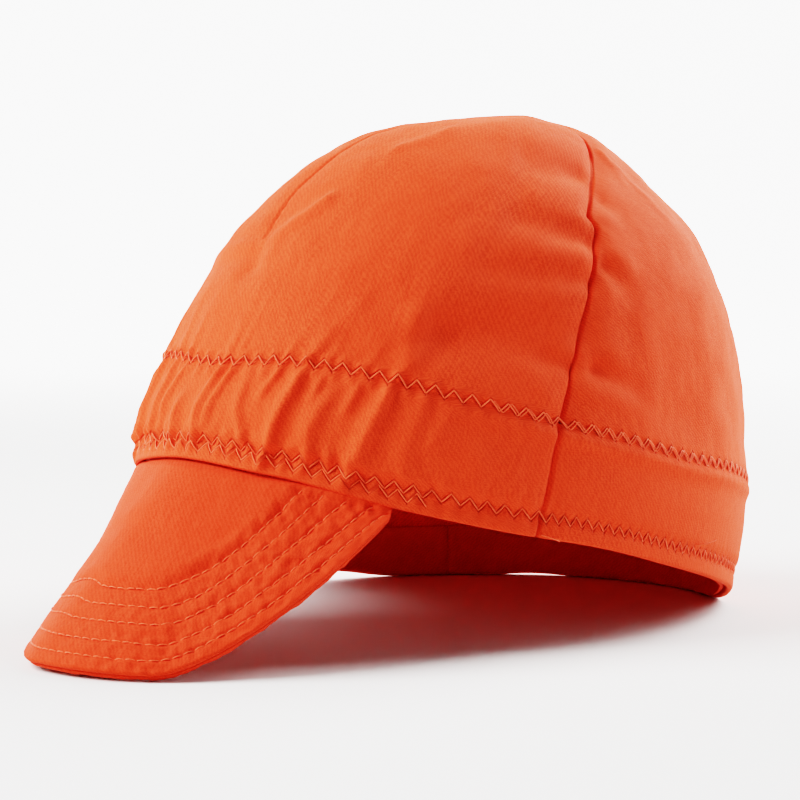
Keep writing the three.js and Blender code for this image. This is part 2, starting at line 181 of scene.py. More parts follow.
# %% Folds
FOLD_DEPTH = 3.9  # mm
FOLD_WIDTH = 9.0  # mm
FOLD_FADE = 0.6  # levels above the upper zigzag over which the folds begin
FOLD_SHALLOWS = 0.5  # share of its depth that a fold has lost at its second end
FOLD_STARTS, FOLD_WIDENS = 0.9, 0.35  # its width at the first end, and what it gains by the second
FOLDS = [
    ((-2, 1.7), (-4, 2.6), 0.5, 0.7),
    ((2, 1.9), (-8, 2.5), -0.3, 0.5),
    ((-8, 2), (-40, 1.5), 0.5, 0.9),
    ((88, 4.04), (71, 4.1), 0.5, 0.45),
    ((84, 2.74), (68, 2.9), 0.7, 0.45),
    ((83, 2.08), (62, 2.0), 0.45, 0.42),
    ((54, 0.9), (77, 1.35), 0.85, 0.85),
    ((77, 0.84), (69, 0.9), 0.55, 0.38),
    ((-6, 2.12), (-42, 1.9), -0.35, 0.26),
    ((12, 2.9), (-2, 2.14), -0.42, 0.3),
    ((22, 4.32), (34, 5.06), -0.22, 0.3),
    ((34, 5.06), (63, 5.66), -0.2, 0.3),
    ((109, 4.8), (108, 4.0), -0.18, 0.18),
    ((111, 4.4), (116, 3.3), -0.15, 0.2),
    ((46, 0.3), (47, 1.0), -0.35, 0.4),
    ((47, 1.0), (51, 1.5), -0.3, 0.45),
    ((110, 4.3), (142, 4), 0.15, 0.9),
    ((88, 2.36), (93, 2.0), 0.5, 0.32),
    ((93, 3.5), (97, 3.35), 0.3, 0.35),
    ((83, 0.86), (90, 0.74), 0.6, 0.38),
    ((77, 0.3), (86, 0.2), 0.3, 0.4),
    ((276, 3.3), (302, 2.6), 0.6, 0.6),
    ((282, 1), (310, 0.5), 0.6, 0.9),
    ((150, 1.2), (205, 1), 0.4, 1.2),
]
print(len(FOLDS), "folds")

# %% [markdown]
# ## Reading the tables
# A table gives a value at a few places. A smooth curve that never overshoots joins them, as a
# flexible batten does when a pattern cutter draws through a few marks.

# %% Reading a table


def read_rows(places, values, place):
    """Reads one column of a table at any place, along a smooth curve that never overshoots."""
    places = np.asarray(places, float)
    values = np.asarray(values, float)
    slopes = np.diff(values) / np.diff(places)
    before, after = slopes[:-1], slopes[1:]
    steady = before * after > 0
    total = np.where(steady, before + after, 1.0)
    inner = np.where(steady, 2 * before * after / total, 0.0)
    tangents = np.concatenate([slopes[:1], inner, slopes[-1:]])
    row = np.clip(np.searchsorted(places, place) - 1, 0, len(places) - 2)
    span = places[row + 1] - places[row]
    t = (place - places[row]) / span
    rise = values[row + 1] - values[row]
    first = tangents[row] * span
    last = tangents[row + 1] * span
    return values[row] + t * (first + t * (3 * rise - 2 * first - last + t * (first + last - 2 * rise)))


def read_rim(column, angle):
    """Reads the rim's table, which goes all the way round."""
    places = [RIM["at"][-1] - FULL_TURN, *RIM["at"], FULL_TURN, RIM["at"][1] + FULL_TURN]
    values = [RIM[column][-1], *RIM[column], RIM[column][0], RIM[column][1]]
    return read_rows(places, values, np.mod(angle, FULL_TURN))


def read_crown(column, section):
    """Reads the crown's table, which goes on past the top as its mirror image."""
    past = CROWN[column][TOP_SECTION - 1]
    if column in ("front", "side", "back"):
        past = -past
    return read_rows(range(TOP_SECTION + 2), [*CROWN[column], past], section)


def read_band(column, up):
    """Reads the band's table, from 0 at the hem edge to 1 at the upper zigzag."""
    return read_rows(BAND["up"], BAND[column], np.clip(up, 0.0, 1.0))


def smooth(low, high, value):
    """0 below low, 1 above high, and a soft step between."""
    share = np.clip((value - low) / (high - low), 0.0, 1.0)
    return share * share * (3 - 2 * share)


def bell(distance, width):
    """1 at no distance, falling softly to nothing past about twice the width."""
    return np.exp(-((distance / width) ** 2))


print("share of the hem's lift over the ear:", round(float(read_rim("lift", 90.0)), 2))

# %% [markdown]
# ## The cap's form
# Every place on the cap is an angle and a level. The plain form is what the cap would be without
# gathers, seams or folds, and the cloth moves out or in from it along the way out.

# %% The plain form


def reach_at(angle, section):
    """How far out the crown lies, as a share of the rim's half width and half length."""
    ahead = np.cos(np.radians(angle))
    front, side, back = (read_crown(name, section) for name in ("front", "side", "back"))
    return side + (front - back) / 2 * ahead + ((front + back) / 2 - side) * ahead * ahead


def plain_point(angle, level):
    """Points of the plain form, in millimetres from the middle of the rim."""
    angle, level = np.broadcast_arrays(np.asarray(angle, float), np.asarray(level, float))
    section = np.maximum(level - 1, 0)
    ahead = np.cos(np.radians(angle))
    aside = np.sin(np.radians(angle))
    hem = RIM_FRONT_LIFT * read_rim("lift", angle)
    band_top = hem + BAND_HEIGHT * read_rim("band", angle)
    foot = reach_at(angle, 0.0)
    on_band = level < 1
    reach = np.where(on_band, 1 + (foot - 1) * level, reach_at(angle, section))
    inwards = 1 - reach / np.maximum(foot, reach)
    height = np.where(
        on_band,
        hem + (band_top - hem) * level,
        band_top + (CROWN_HEIGHT - band_top) * read_crown("up", section),
    )
    back = np.where(on_band, 0.0, CROWN_SETBACK * inwards)
    return np.stack(
        [RIM_HALF_WIDTH * aside * reach, -RIM_HALF_LENGTH * ahead * reach + back, height], axis=-1
    )


def unit(vectors):
    """The same directions with a length of 1."""
    return vectors / np.linalg.norm(vectors, axis=-1, keepdims=True)


def way_out(angle, level):
    """The way out of the plain form, from two small steps along it."""
    turn, rise = 0.5, 0.02  # degrees and levels
    low = np.clip(level, 0, TOP_LEVEL - 3 * rise)
    around = plain_point(angle + turn, low + rise) - plain_point(angle - turn, low + rise)
    up = plain_point(angle, low + 2 * rise) - plain_point(angle, low)
    out = unit(np.cross(around, up))
    flat = out.copy()
    flat[..., 2] = 0
    return np.where((level < 1)[..., None], unit(flat), out)


def seam_angle(level):
    """The angle of the wearer's left side seam. The right one is its mirror image."""
    on_band = SEAM_FOOT_ANGLE + (CROWN["seam"][0] - SEAM_FOOT_ANGLE) * level
    on_crown = read_crown("seam", np.clip(level - 1, 0, TOP_SECTION))
    return np.where(level < 1, on_band, on_crown) + read_rows(*SEAM_SWAY, np.clip(level, 0, TOP_LEVEL))


def away_from_front(angle):
    """Degrees from the front, the same to the left and to the right."""
    turned = np.mod(angle, FULL_TURN)
    return np.minimum(turned, FULL_TURN - turned)


def degree_length(angle, level):
    """Millimetres of cloth to a degree."""
    reach = np.maximum(reach_at(angle, np.maximum(level - 1, 0)), SMALLEST_REACH)
    return np.radians(1.0) * RIM_HALF_WIDTH * reach


def gather_share(angle):
    """1 where the band is gathered, over the bill, and 0 round the back."""
    return 1 - smooth(GATHERED_FROM, GATHERED_TO, away_from_front(angle))


def gather_turn(angle, level):
    """How far the gathers have turned at a place, in radians: each ridge is a whole turn."""
    along = np.radians(angle) * (RIM_HALF_LENGTH + RIM_HALF_WIDTH) / 2 - GATHER_SLANT * level
    turn = 2 * np.pi * along / GATHER_PITCH
    return turn + sum(shift * np.sin(turn * rate + start) for shift, rate, start in UNEVEN_GATHERS)


def band_puff(angle, level):
    """Millimetres that the band stands out between its two rows."""
    share = SMOOTH_PUFF + (1 - SMOOTH_PUFF) * gather_share(angle)
    return BAND_PUFF * read_band("puff", level) * share


def seam_distance(angle, level):
    """Millimetres to the nearer side seam, negative on the front panel."""
    return (away_from_front(angle) - seam_angle(level)) * degree_length(angle, level)


def dart_distance(angle, level):
    """Millimetres to the front or the back dart, whichever is nearer."""
    front_dart = read_rows(*FRONT_DART, np.clip(level, 0, TOP_LEVEL))
    away = np.minimum(away_from_front(angle - front_dart), FULL_TURN / 2 - away_from_front(angle))
    return away * degree_length(angle, level)


def seam_sink(angle, level):
    """Millimetres that the seams and darts draw the cloth in."""
    dart_end = smooth(DART_FOOT, DART_FOOT + DART_FADE, level - 1)
    seam = bell(seam_distance(angle, level), SEAM_ROUND)
    dart = bell(dart_distance(angle, level), SEAM_ROUND) * dart_end
    band = np.where(level < 1, read_band("seam", level), 1.0)
    near_top = 1 - smooth(TOP_LEVEL - 1, TOP_LEVEL, level)
    return SEAM_SINK * np.maximum(seam, dart * DART_SINK) * band * near_top


def line_distance(angle, level, ends):
    """Millimetres to a line between two places on the unrolled crown, and the share along it."""
    scale = degree_length(angle, level)
    turned = np.mod(angle, FULL_TURN)
    here = turned - FULL_TURN * np.round((turned - ends[0][0]) / FULL_TURN)
    spot = np.stack([here * scale, plain_point(angle, level)[..., 2]], axis=-1)
    first, last = (
        np.stack(
            [at * scale, np.broadcast_to(plain_point(at, 1.0 + section)[..., 2], scale.shape)], axis=-1
        )
        for at, section in ends
    )
    line = last - first
    share = np.clip(((spot - first) * line).sum(-1) / (line * line).sum(-1), 0, 1)
    nearest = first + line * share[..., None]
    return np.linalg.norm(spot - nearest, axis=-1), share


def fold_sink(angle, level):
    """Millimetres that the folds sink the cloth, or raise it where a fold's depth is negative."""
    sink = 0.0
    for first, last, deep, wide in FOLDS:
        away, share = line_distance(angle, level, (first, last))
        width = FOLD_WIDTH * wide * (FOLD_STARTS + FOLD_WIDENS * share)
        sink = sink + FOLD_DEPTH * deep * (1 - FOLD_SHALLOWS * share) * bell(away, width)
    return sink * smooth(1, 1 + FOLD_FADE, level)


rim_check = plain_point(np.array([0.0, 90.0, 180.0]), np.zeros(3))
print("hem edge at front, left and back (mm):", rim_check.round(1).tolist())

# %% [markdown]
# ## What the needle does to the cloth
# Where thread goes in, the cloth is drawn down, and between the stitches it stands up in small
# puckers. They sit at the stitches' own pitch, so the lengths along the two zigzag rows are measured
# first. Soft unevenness everywhere else comes from a few waves with fixed directions.

# %% Puckers and unevenness
ZIGZAG_PITCH = 5.6
ZIGZAG_HEIGHT = 3.0
DART_STITCH = 3.0
UPPER_LEVEL = 1.0
LOWER_ROW_HEIGHT = 6.4  # above the hem edge
TWICE_UP_TO = 50.0  # degrees from the front, where the bill ends
BACK_STITCHES = 0.35  # share by which the lower row's stitches are closer together on the back panel
RUN_PLACES = 1441
WAVES = 28
WAVE_STRETCHES = (0.7, 1.4)


def level_of_height(angle, height):
    """The level that lies a height above the hem edge, on the band."""
    return height / (BAND_HEIGHT * read_rim("band", angle))


def run_along(row_level, closer):
    """Angles round the cap and the row's length up to each, counted longer where stitches are closer."""
    angles = np.linspace(0, FULL_TURN, RUN_PLACES)
    points = plain_point(angles, row_level(angles))
    steps = np.linalg.norm(np.diff(points, axis=0), axis=1)
    on_back = smooth(SEAM_FOOT_ANGLE, SEAM_FOOT_ANGLE + 3, away_from_front(angles[1:]))
    steps = steps * (1 + closer * on_back)
    return angles, np.concatenate([[0], np.cumsum(steps)])


UPPER_RUN = run_along(lambda angles: np.full_like(angles, UPPER_LEVEL), 0.0)
LOWER_RUN = run_along(lambda angles: level_of_height(angles, LOWER_ROW_HEIGHT), BACK_STITCHES)


def even_pitch(run):
    """The pitch nearest to the machine's that closes the row round the cap."""
    return run[1][-1] / round(run[1][-1] / ZIGZAG_PITCH)


UPPER_PITCH = even_pitch(UPPER_RUN)
LOWER_PITCH = even_pitch(LOWER_RUN)


def length_at(run, angle):
    """Millimetres along a row from the front to an angle."""
    return np.interp(np.mod(angle, FULL_TURN), *run)


def unevenness(points, wavelength, seed):
    """Soft random highs and lows, about -1 to 1, from waves in fixed directions."""
    draw = np.random.default_rng(seed)
    ways = unit(draw.normal(size=(WAVES, 3)))
    starts = draw.uniform(0, 2 * np.pi, WAVES)
    stretches = draw.uniform(*WAVE_STRETCHES, WAVES)
    total = np.zeros(points.shape[:-1])
    for way, start, stretch in zip(ways, starts, stretches):
        total += np.sin(points @ way * (2 * np.pi / (wavelength * stretch)) + start)
    return total / np.sqrt(WAVES)


print("stitch pitch (mm): upper", round(UPPER_PITCH, 2), "lower", round(LOWER_PITCH, 2))

# %% [markdown]
# ## The crown and its band
# Each crown panel is one piece of cloth from the hem to the top, with the band gathered into it
# below the upper zigzag. It could be simulated as cloth, but its folds are known from the photograph
# and have to stay where they are, so the surface is worked out place by place, and only the fine
# unevenness is left to chance with a fixed seed.

# %% The band's gathers
GATHER_STRENGTH = 1.3
CREST_LEAN_FROM, CREST_LEAN_TO = 0.2, 0.9  # levels that a ridge's two angles belong to
CREST_BOW, UNEVEN_BOW = -1.1, 0.9  # degrees that a ridge bows aside halfway up
BOW_CHANGE = 7.3  # how fast the uneven part of the bow changes with the angle
PINCH, PINCH_REACH = 0.38, 0.3  # share of its width that a ridge loses at a row, within these levels
GENTLE_FLANK, STEEP_FLANK = 1.05, 0.7  # half widths of a ridge towards the right and the left
RISE_FROM, RISE_TO = -0.08, 0.12  # levels over which a ridge rises, from the first in its row
FALL_FROM, FALL_TO = -0.22, 0.06  # and over which it ends, from the last one
HELD_DOWN, HELD_FROM = 0.6, 0.86  # share that the upper zigzag holds down, from this level up
PLEAT_SHARE = 0.55  # share of a ridge's height that goes on above the upper zigzag
PLEAT_RISE = 11.0  # mm over which it runs out there
BETWEEN_RIDGES = 0.35  # mm that the gathered cloth lies lower between the ridges
GATHERS_BEGIN = (0.05, 0.3)  # levels over which they begin above the hem
LEVEL_OVER_BAND = 21.0  # mm of crown in the first level above the upper zigzag
RIDGES = [
    # angle near the upper row, angle near the lower row, height, half width, from level, to level
    (-69, -65, 0.6, 3.2, 0.3, 1),
    (-60, -56, 0.8, 3.4, 0.1, 0.8),
    (-53, -48, 1.4, 2.8, 0.05, 1),
    (-47, -45, 0.9, 1.7, 0.6, 1),
    (-43, -38, 1.5, 2.6, 0.1, 0.85),
    (-37, -32, 1.7, 2.5, 0.05, 1),
    (-31, -29, 1.0, 1.9, 0.5, 1),
    (-24, -22, 1.4, 2.4, 0.1, 1),
    (-15, -13.5, 1.3, 2.4, 0.15, 1),
    (-9.5, -9.5, 1.0, 2.0, 0.4, 1),
    (-4, -5, 1.2, 2.2, 0.1, 0.7),
    (4.5, 3, 1.6, 2.4, 0.1, 1),
    (8, 6, 1.2, 1.8, 0.25, 1),
    (13.5, 17, 1.0, 2.0, 0.15, 0.9),
    (20.5, 16, 0.9, 1.6, 0.65, 1),
    (26, 21, 2.0, 2.4, 0.05, 1),
    (30.5, 27.5, 0.9, 1.5, 0.68, 1),
    (34.5, 29, 1.3, 3.0, 0.1, 0.85),
    (38, 34, 0.9, 1.7, 0.62, 1),
    (43.5, 37.2, 1.9, 2.6, 0.05, 1),
    (50, 45, 0.9, 3.2, 0.2, 1),
    (55.5, 51.5, 0.7, 2.6, 0.5, 1),
    (63, 58, 0.55, 3.5, 0.1, 0.7),
    (70, 66, 0.35, 3.0, 0.3, 1),
]
HEM_BUMPS = [-57, -51, -41.5, -34, -26, -18, -1, 10, 13, 24.5, 33, 41.5, 48.5, 55]  # angles
HEM_BUMP = (0.9, 1.9, 0.08, 0.4)  # height, half width, from level, to level


def ridge(angle, level, top, foot, height, width, start, stop):
    """One gather: a ridge of cloth, steeper towards the wearer's left."""
    share = (level - CREST_LEAN_FROM) / (CREST_LEAN_TO - CREST_LEAN_FROM)
    turned = angle - FULL_TURN * np.round(angle / FULL_TURN)
    bow = (CREST_BOW + UNEVEN_BOW * np.sin(BOW_CHANGE * foot)) * np.sin(np.pi * np.clip(share, 0, 1))
    aside = (turned - foot - (top - foot) * share - bow) * degree_length(angle, level)
    from_row = np.minimum(level, np.abs(1 - level))
    pinch = 1 - PINCH + PINCH * smooth(0, PINCH_REACH, from_row)
    flank = np.where(aside < 0, GENTLE_FLANK, STEEP_FLANK) * width * pinch
    rise = smooth(start + RISE_FROM, start + RISE_TO, level)
    above = np.clip(level - 1, 0, None) * LEVEL_OVER_BAND
    if stop < 1:
        fall = 1 - smooth(stop + FALL_FROM, stop + FALL_TO, level)
    else:
        held = 1 - HELD_DOWN * smooth(HELD_FROM, 1.0, level)
        fall = np.where(level < 1, held, PLEAT_SHARE * np.exp(-above / PLEAT_RISE))
    return height * bell(aside, flank) * rise * fall


def gathers(angle, level):
    """Height of the band's gathers, from the table of ridges and the bumps at the hem."""
    total = GATHER_STRENGTH * sum(ridge(angle, level, *row) for row in RIDGES)
    total = total + sum(ridge(angle, level, place, place, *HEM_BUMP) for place in HEM_BUMPS)
    lower = np.where(level < 1, BETWEEN_RIDGES * smooth(*GATHERS_BEGIN, level), 0.0)
    return total - lower * gather_share(angle)


some_gathers = gathers(np.linspace(0, 45, 400), np.full(400, 0.7))
print("deepest gather (mm):", round(float(np.ptp(some_gathers)), 2))

# %% Puckers along the two zigzags
ROUND_HEIGHT = 0.48  # mm that the cloth stands up between two stitches
UNGATHERED_ROUNDS = 0.4  # share of it that is left where the band isn't gathered
ROUNDS = [
    # row, mm above the row, spread in mm, share of the height, half stitches along
    ("lower", 3.0, 2.0, 1.0, 0),
    ("lower", -2.6, 1.8, 0.7, 1),
    ("upper", -2.8, 2.0, 0.8, 0),
    ("upper", 2.8, 2.2, 0.8, 1),
]
GROOVES = {"lower": (0.5, 2.2), "upper": (0.45, 1.9)}  # depth and spread in mm
LIP_HEIGHT, GATHERED_LIP_LOSS = 0.95, 0.75  # mm that the lip stands out, and less where gathered
LIP_BELOW, LIP_SPREAD = 4.2, 2.4  # mm


def stitch_puckers(angle, level):
    """Small rounds between the stitches of both zigzags, and the lip below the upper one."""
    gathered = gather_share(angle)
    top = BAND_HEIGHT * read_rim("band", angle)
    above = {"lower": level * top - LOWER_ROW_HEIGHT, "upper": level * top - top}
    turns = {
        "lower": 2 * np.pi * length_at(LOWER_RUN, angle) / LOWER_PITCH,
        "upper": 2 * np.pi * length_at(UPPER_RUN, angle) / UPPER_PITCH,
    }
    rounds = 0.0
    for row, place, spread, part, late in ROUNDS:
        rounds = rounds + part * bell(above[row] - place, spread) * np.cos(turns[row] + late * np.pi)
    share = UNGATHERED_ROUNDS + (1 - UNGATHERED_ROUNDS) * gathered
    grooves = sum(depth * bell(above[row], spread) for row, (depth, spread) in GROOVES.items())
    lip = (LIP_HEIGHT - GATHERED_LIP_LOSS * gathered) * bell(above["upper"] + LIP_BELOW, LIP_SPREAD)
    return ROUND_HEIGHT * share * rounds - grooves + lip


print(len(ROUNDS), "lines of rounds along the zigzags")

# %% The crown's two faces
SEAM_CREASE, SEAM_CREASE_WIDTH = 1.2, 0.6  # mm
SEAM_ROLL, SEAM_ROLL_WIDTH = 0.35, 2.6  # mm
SEAM_ROLL_PLACE = 3.5  # mm from the seam, on the front panel
SEAM_PUCKER, SEAM_PUCKER_LENGTH, SEAM_PUCKER_REACH = 0.16, 8.0, 8.0  # mm
SEAM_PUCKER_TURN = 0.2  # how much the puckers change away from the seam
DART_CREASE, DART_CREASE_WIDTH = 1.0, 0.65  # mm
DART_EASE = 0.15  # sections over which the dart's stitching begins
STITCH_HOLD = 0.25  # share of the dart's crease that comes and goes with its stitches
SOFT_WAVES = [(0.45, 46, 3), (0.2, 17, 5), (0.07, 7, 9)]  # height and length in mm, seed
BAND_CALM = 0.2  # share of the soft waves that is left on the band
PAST_HEM = (0.05, 0.4)  # levels over which the roll and the puckers by a seam begin
PAST_BAND = (0.95, 1.5)  # levels over which the cloth's unevenness grows to its whole height
TOP_FADE = 0.6  # levels below the top over which the creases end
INNER_GATHERS = 0.5  # share of the gathers that shows inside
INNER_GATHERS_BEGIN = (0.4, 0.7)  # levels, as the facing lies under them further down


def crown_offset(angle, level):
    """Millimetres from the plain form out to the cloth."""
    plain = plain_point(angle, level)
    up = plain[..., 2]
    bulge = np.where(level < 1, band_puff(angle, level), 0.0) + gathers(angle, level)
    seam = seam_distance(angle, level)
    past_hem = smooth(*PAST_HEM, level)
    crease = -SEAM_CREASE * bell(seam, SEAM_CREASE_WIDTH)
    roll = SEAM_ROLL * bell(seam + SEAM_ROLL_PLACE, SEAM_ROLL_WIDTH) * past_hem
    beside_seam = np.stack([up, SEAM_PUCKER_TURN * seam, 0 * seam], axis=-1)
    pucker = SEAM_PUCKER * unevenness(beside_seam, SEAM_PUCKER_LENGTH, 4)
    pucker = pucker * bell(seam, SEAM_PUCKER_REACH) * past_hem
    dart_starts = smooth(DART_FOOT, DART_FOOT + DART_EASE, level - 1)
    dart_stops = 1 - smooth(TOP_LEVEL - 1, TOP_LEVEL, level)
    stitched = 1 - STITCH_HOLD + STITCH_HOLD * np.sin(2 * np.pi * up / DART_STITCH)
    dart = -DART_CREASE * stitched * bell(dart_distance(angle, level), DART_CREASE_WIDTH)
    soft = sum(height * unevenness(plain, length, seed) for height, length, seed in SOFT_WAVES)
    calm = smooth(*PAST_BAND, level) * (1 - BAND_CALM) + BAND_CALM
    top_calm = 1 - smooth(TOP_LEVEL - TOP_FADE, TOP_LEVEL, level)
    loose = (crease + roll + pucker + dart * (dart_starts * dart_stops) + soft * calm) * top_calm
    sunk = seam_sink(angle, level) + fold_sink(angle, level)
    return bulge - sunk + loose + stitch_puckers(angle, level)


def lining_offset(angle, level):
    """Millimetres from the plain form to the inner face, which stays clear of the facing."""
    bulge = np.where(level < 1, band_puff(angle, level), 0.0)
    ripple = INNER_GATHERS * gathers(angle, level) * smooth(*INNER_GATHERS_BEGIN, level)
    hem = np.where(level < 1, read_band("hem", level), 0.0)
    wall = CLOTH + (HEM_CLOTH - CLOTH) * hem
    return bulge + ripple - fold_sink(angle, level) - seam_sink(angle, level) - wall


print("cloth walls (mm):", CLOTH, "and", HEM_CLOTH, "at the hem")

# %% [markdown]
# ## From a grid of places to a piece of cloth
# A piece of cloth is a closed wall: an outer and an inner grid of points, joined round their edges.
# The grid also carries a map in metres of cloth, so that the weave keeps its real size everywhere.

# %% Grid to mesh
HEM_ROUND = 1.05  # the folded edge's radius


def grid_faces(columns, rows, start, flip):
    """Quads of a grid whose points are numbered by column and then row."""
    c, r = np.meshgrid(np.arange(columns - 1), np.arange(rows - 1), indexing="ij")
    a = start + c * rows + r
    quads = np.stack([a, a + rows, a + rows + 1, a + 1], axis=-1).reshape(-1, 4)
    return quads[:, ::-1] if flip else quads


def border(columns, rows):
    """The points round a grid's edge, in order: foot, last column, top, first column."""
    foot = np.arange(columns) * rows
    last = (columns - 1) * rows + np.arange(rows)
    top = np.arange(columns)[::-1] * rows + rows - 1
    first = np.arange(rows)[::-1]
    return np.concatenate([foot[:-1], last[:-1], top[:-1], first[:-1]])


def count_triangles(mesh):
    """How many triangles a mesh's faces make."""
    return sum(len(face.vertices) - 2 for face in mesh.polygons)


def cloth_lengths(points):
    """Metres of cloth across and along at each point of a grid."""
    across = np.linalg.norm(np.diff(points, axis=0), axis=-1)
    across = np.concatenate([np.zeros((1, points.shape[1])), np.cumsum(across, axis=0)])
    across -= across[points.shape[0] // 2]
    along = np.linalg.norm(np.diff(points, axis=1), axis=-1)
    along = np.concatenate([np.zeros((points.shape[0], 1)), np.cumsum(along, axis=1)], axis=1)
    return np.stack([across, along], axis=-1) * MM


def cloth_piece(name, outer, inner, material, shift=(0.0, 0.0, 0.0), attributes=None):
    """Makes a closed wall of cloth between two grids of points, given in millimetres."""
    columns, rows = outer.shape[:2]
    count = columns * rows
    edge = border(columns, rows)
    after = np.roll(edge, -1)
    rim = np.stack([edge, edge + count, after + count, after], axis=-1)
    quads = np.concatenate(
        [grid_faces(columns, rows, 0, False), grid_faces(columns, rows, count, True), rim]
    )
    lengths = cloth_lengths(outer).reshape(-1, 2)
    lengths = np.concatenate([lengths, lengths])
    points = np.concatenate([outer.reshape(-1, 3), inner.reshape(-1, 3)])
    points = points + PART_SHIFT + np.array(shift)
    points[:, 2] = np.maximum(points[:, 2], 0.0)
    mesh = bpy.data.meshes.new(name)
    mesh.from_pydata((points * MM).tolist(), [], quads.tolist())
    layer = mesh.uv_layers.new(name="cloth")
    corner = np.empty(len(mesh.loops), int)
    mesh.loops.foreach_get("vertex_index", corner)
    layer.data.foreach_set("uv", lengths[corner].ravel())
    for label, grid in (attributes or {}).items():
        on_both_faces = np.tile(grid.reshape(-1, 3), (2, 1)).astype(np.float32)
        attribute = mesh.attributes.new(label, "FLOAT_VECTOR", "POINT")
        attribute.data.foreach_set("vector", on_both_faces.ravel())
    soft = np.ones(len(quads), bool)
    soft[-len(rim) :] = False
    mesh.polygons.foreach_set("use_smooth", soft)
    mesh.materials.append(material)
    mesh.validate(clean_customdata=False)
    mesh.update()
    print(f"{name}: {count_triangles(mesh)} triangles")
    return in_scene(name, mesh)


print("hem's fold:", HEM_ROUND, "mm in radius")

# %% [markdown]
# ## Materials
# The cloth is cotton twill: spun yarn, so it is matt, a little fuzzy and never quite even in colour.
# Diagonal wales run over it, and thicker stretches of yarn, called slubs, show as short fine lines
# along and across. The dye is a strong orange, so light that has met the cloth twice is nearly red.

# %% Colour and node helpers


def linear(hex_colour):
    """An sRGB hex colour as the linear values that Blender's nodes take."""
    channels = np.array([int(hex_colour[i : i + 2], 16) / 255 for i in (1, 3, 5)])
    low = channels / 12.92
    high = ((channels + 0.055) / 1.055) ** 2.4
    return (*np.where(channels <= 0.04045, low, high).tolist(), 1.0)


def add(tree, kind, settings=None, inputs=None):
    """Adds a node, sets its properties, and sets or links its inputs."""
    node = tree.nodes.new(kind)
    for name, value in (settings or {}).items():
        setattr(node, name, value)
    for name, value in (inputs or {}).items():
        if isinstance(value, bpy.types.NodeSocket):
            tree.links.new(value, node.inputs[name])
        else:
            node.inputs[name].default_value = value
    return node


# Settings that several nodes share.
SUM = {"operation": "ADD"}
DIFFERENCE = {"operation": "SUBTRACT"}
PRODUCT = {"operation": "MULTIPLY"}
PRODUCT_AND_SUM = {"operation": "MULTIPLY_ADD"}
SINE = {"operation": "SINE"}
EASED = {"interpolation_type": "SMOOTHSTEP"}
COLOURS = {"data_type": "RGBA"}
VECTORS = {"data_type": "FLOAT_VECTOR"}
print("white in linear values:", linear("#ffffff"))

# %% [markdown]
# ## Cotton twill
# The wales of such a twill are about 0.5 mm apart. That is about a pixel here, so they are drawn
# 1.2 mm apart, as coarse as they need to be to show. The yarns show as grain in the colour and in
# the relief.

# %% Yarns and wales
WALE = 1.225 * MM
BANDS_PER_UNIT = 10 * np.sqrt(2) / (2 * np.pi)  # diagonal bands that the texture draws over a unit
WALE_WANDER = 2.2
YARN = 0.34 * MM
YARN_STRETCH = 2.6 * MM  # how far a yarn keeps its thickness
GRAIN = 0.27 * MM
SLUB_WIDTH, SLUB_LENGTH = 0.6 * MM, 9.0 * MM
DYE_PATCH = 30.0 * MM
YARN_HEIGHT = 0.07 * MM
GRAIN_SHARE, SLUB_SHARE, WALE_SHARE = 1.1, 0.5, 0.3  # of the yarns' own height


def streaks(tree, place, across, along, detail):
    """Noise that is drawn out into streaks of the given width and length."""
    stretched = add(
        tree, "ShaderNodeMapping", None, {"Vector": place, "Scale": (1 / across, 1 / along, 1)}
    ).outputs["Vector"]
    noise = {"Vector": stretched, "Scale": 1.0, "Detail": detail}
    return add(tree, "ShaderNodeTexNoise", None, noise).outputs["Fac"]


def twill_relief(tree, cloth):
    """The height of the yarns: fine ones along and across, grain, slubs and the diagonal wales."""
    warp = streaks(tree, cloth, YARN, YARN_STRETCH, 2.0)
    weft = streaks(tree, cloth, YARN_STRETCH, YARN, 2.0)
    slubs = streaks(tree, cloth, SLUB_WIDTH, SLUB_LENGTH, 0.0)
    grain = streaks(tree, cloth, GRAIN, GRAIN, 0.0)
    wales = add(
        tree,
        "ShaderNodeTexWave",
        {"wave_type": "BANDS", "bands_direction": "DIAGONAL"},
        {
            "Vector": cloth,
            "Scale": 1 / WALE / BANDS_PER_UNIT,
            "Distortion": WALE_WANDER,
            "Detail": 2.0,
            "Detail Scale": 1.5,
        },
    ).outputs["Fac"]
    height = add(tree, "ShaderNodeMath", SUM, {0: warp, 1: weft}).outputs[0]
    for pattern, share in ((grain, GRAIN_SHARE), (slubs, SLUB_SHARE), (wales, WALE_SHARE)):
        parts = {0: pattern, 1: share, 2: height}
        height = add(tree, "ShaderNodeMath", PRODUCT_AND_SUM, parts).outputs[0]
    return height


print("wales (mm):", WALE / MM, "yarn (mm):", YARN / MM)

# %% [markdown]
# ## Trenches under the stitches
# Under each leg of a zigzag the thread lies in a trench that it has pulled into the cloth. The trench
# is much narrower than the mesh is fine, so it is a part of the relief, worked out from an attribute
# for each row: turns along the row, millimetres above it, and 1 where the row was sewn twice.

# %% Trenches
TRENCH_DEPTH = 0.4 * MM
TRENCH_FLOOR, TRENCH_HALF_WIDTH = 0.2, 0.75  # mm from the thread's middle
SECOND_ROW_DROP = 2.2  # mm below the first
SECOND_ROW_SHIFT = 1.1  # mm along


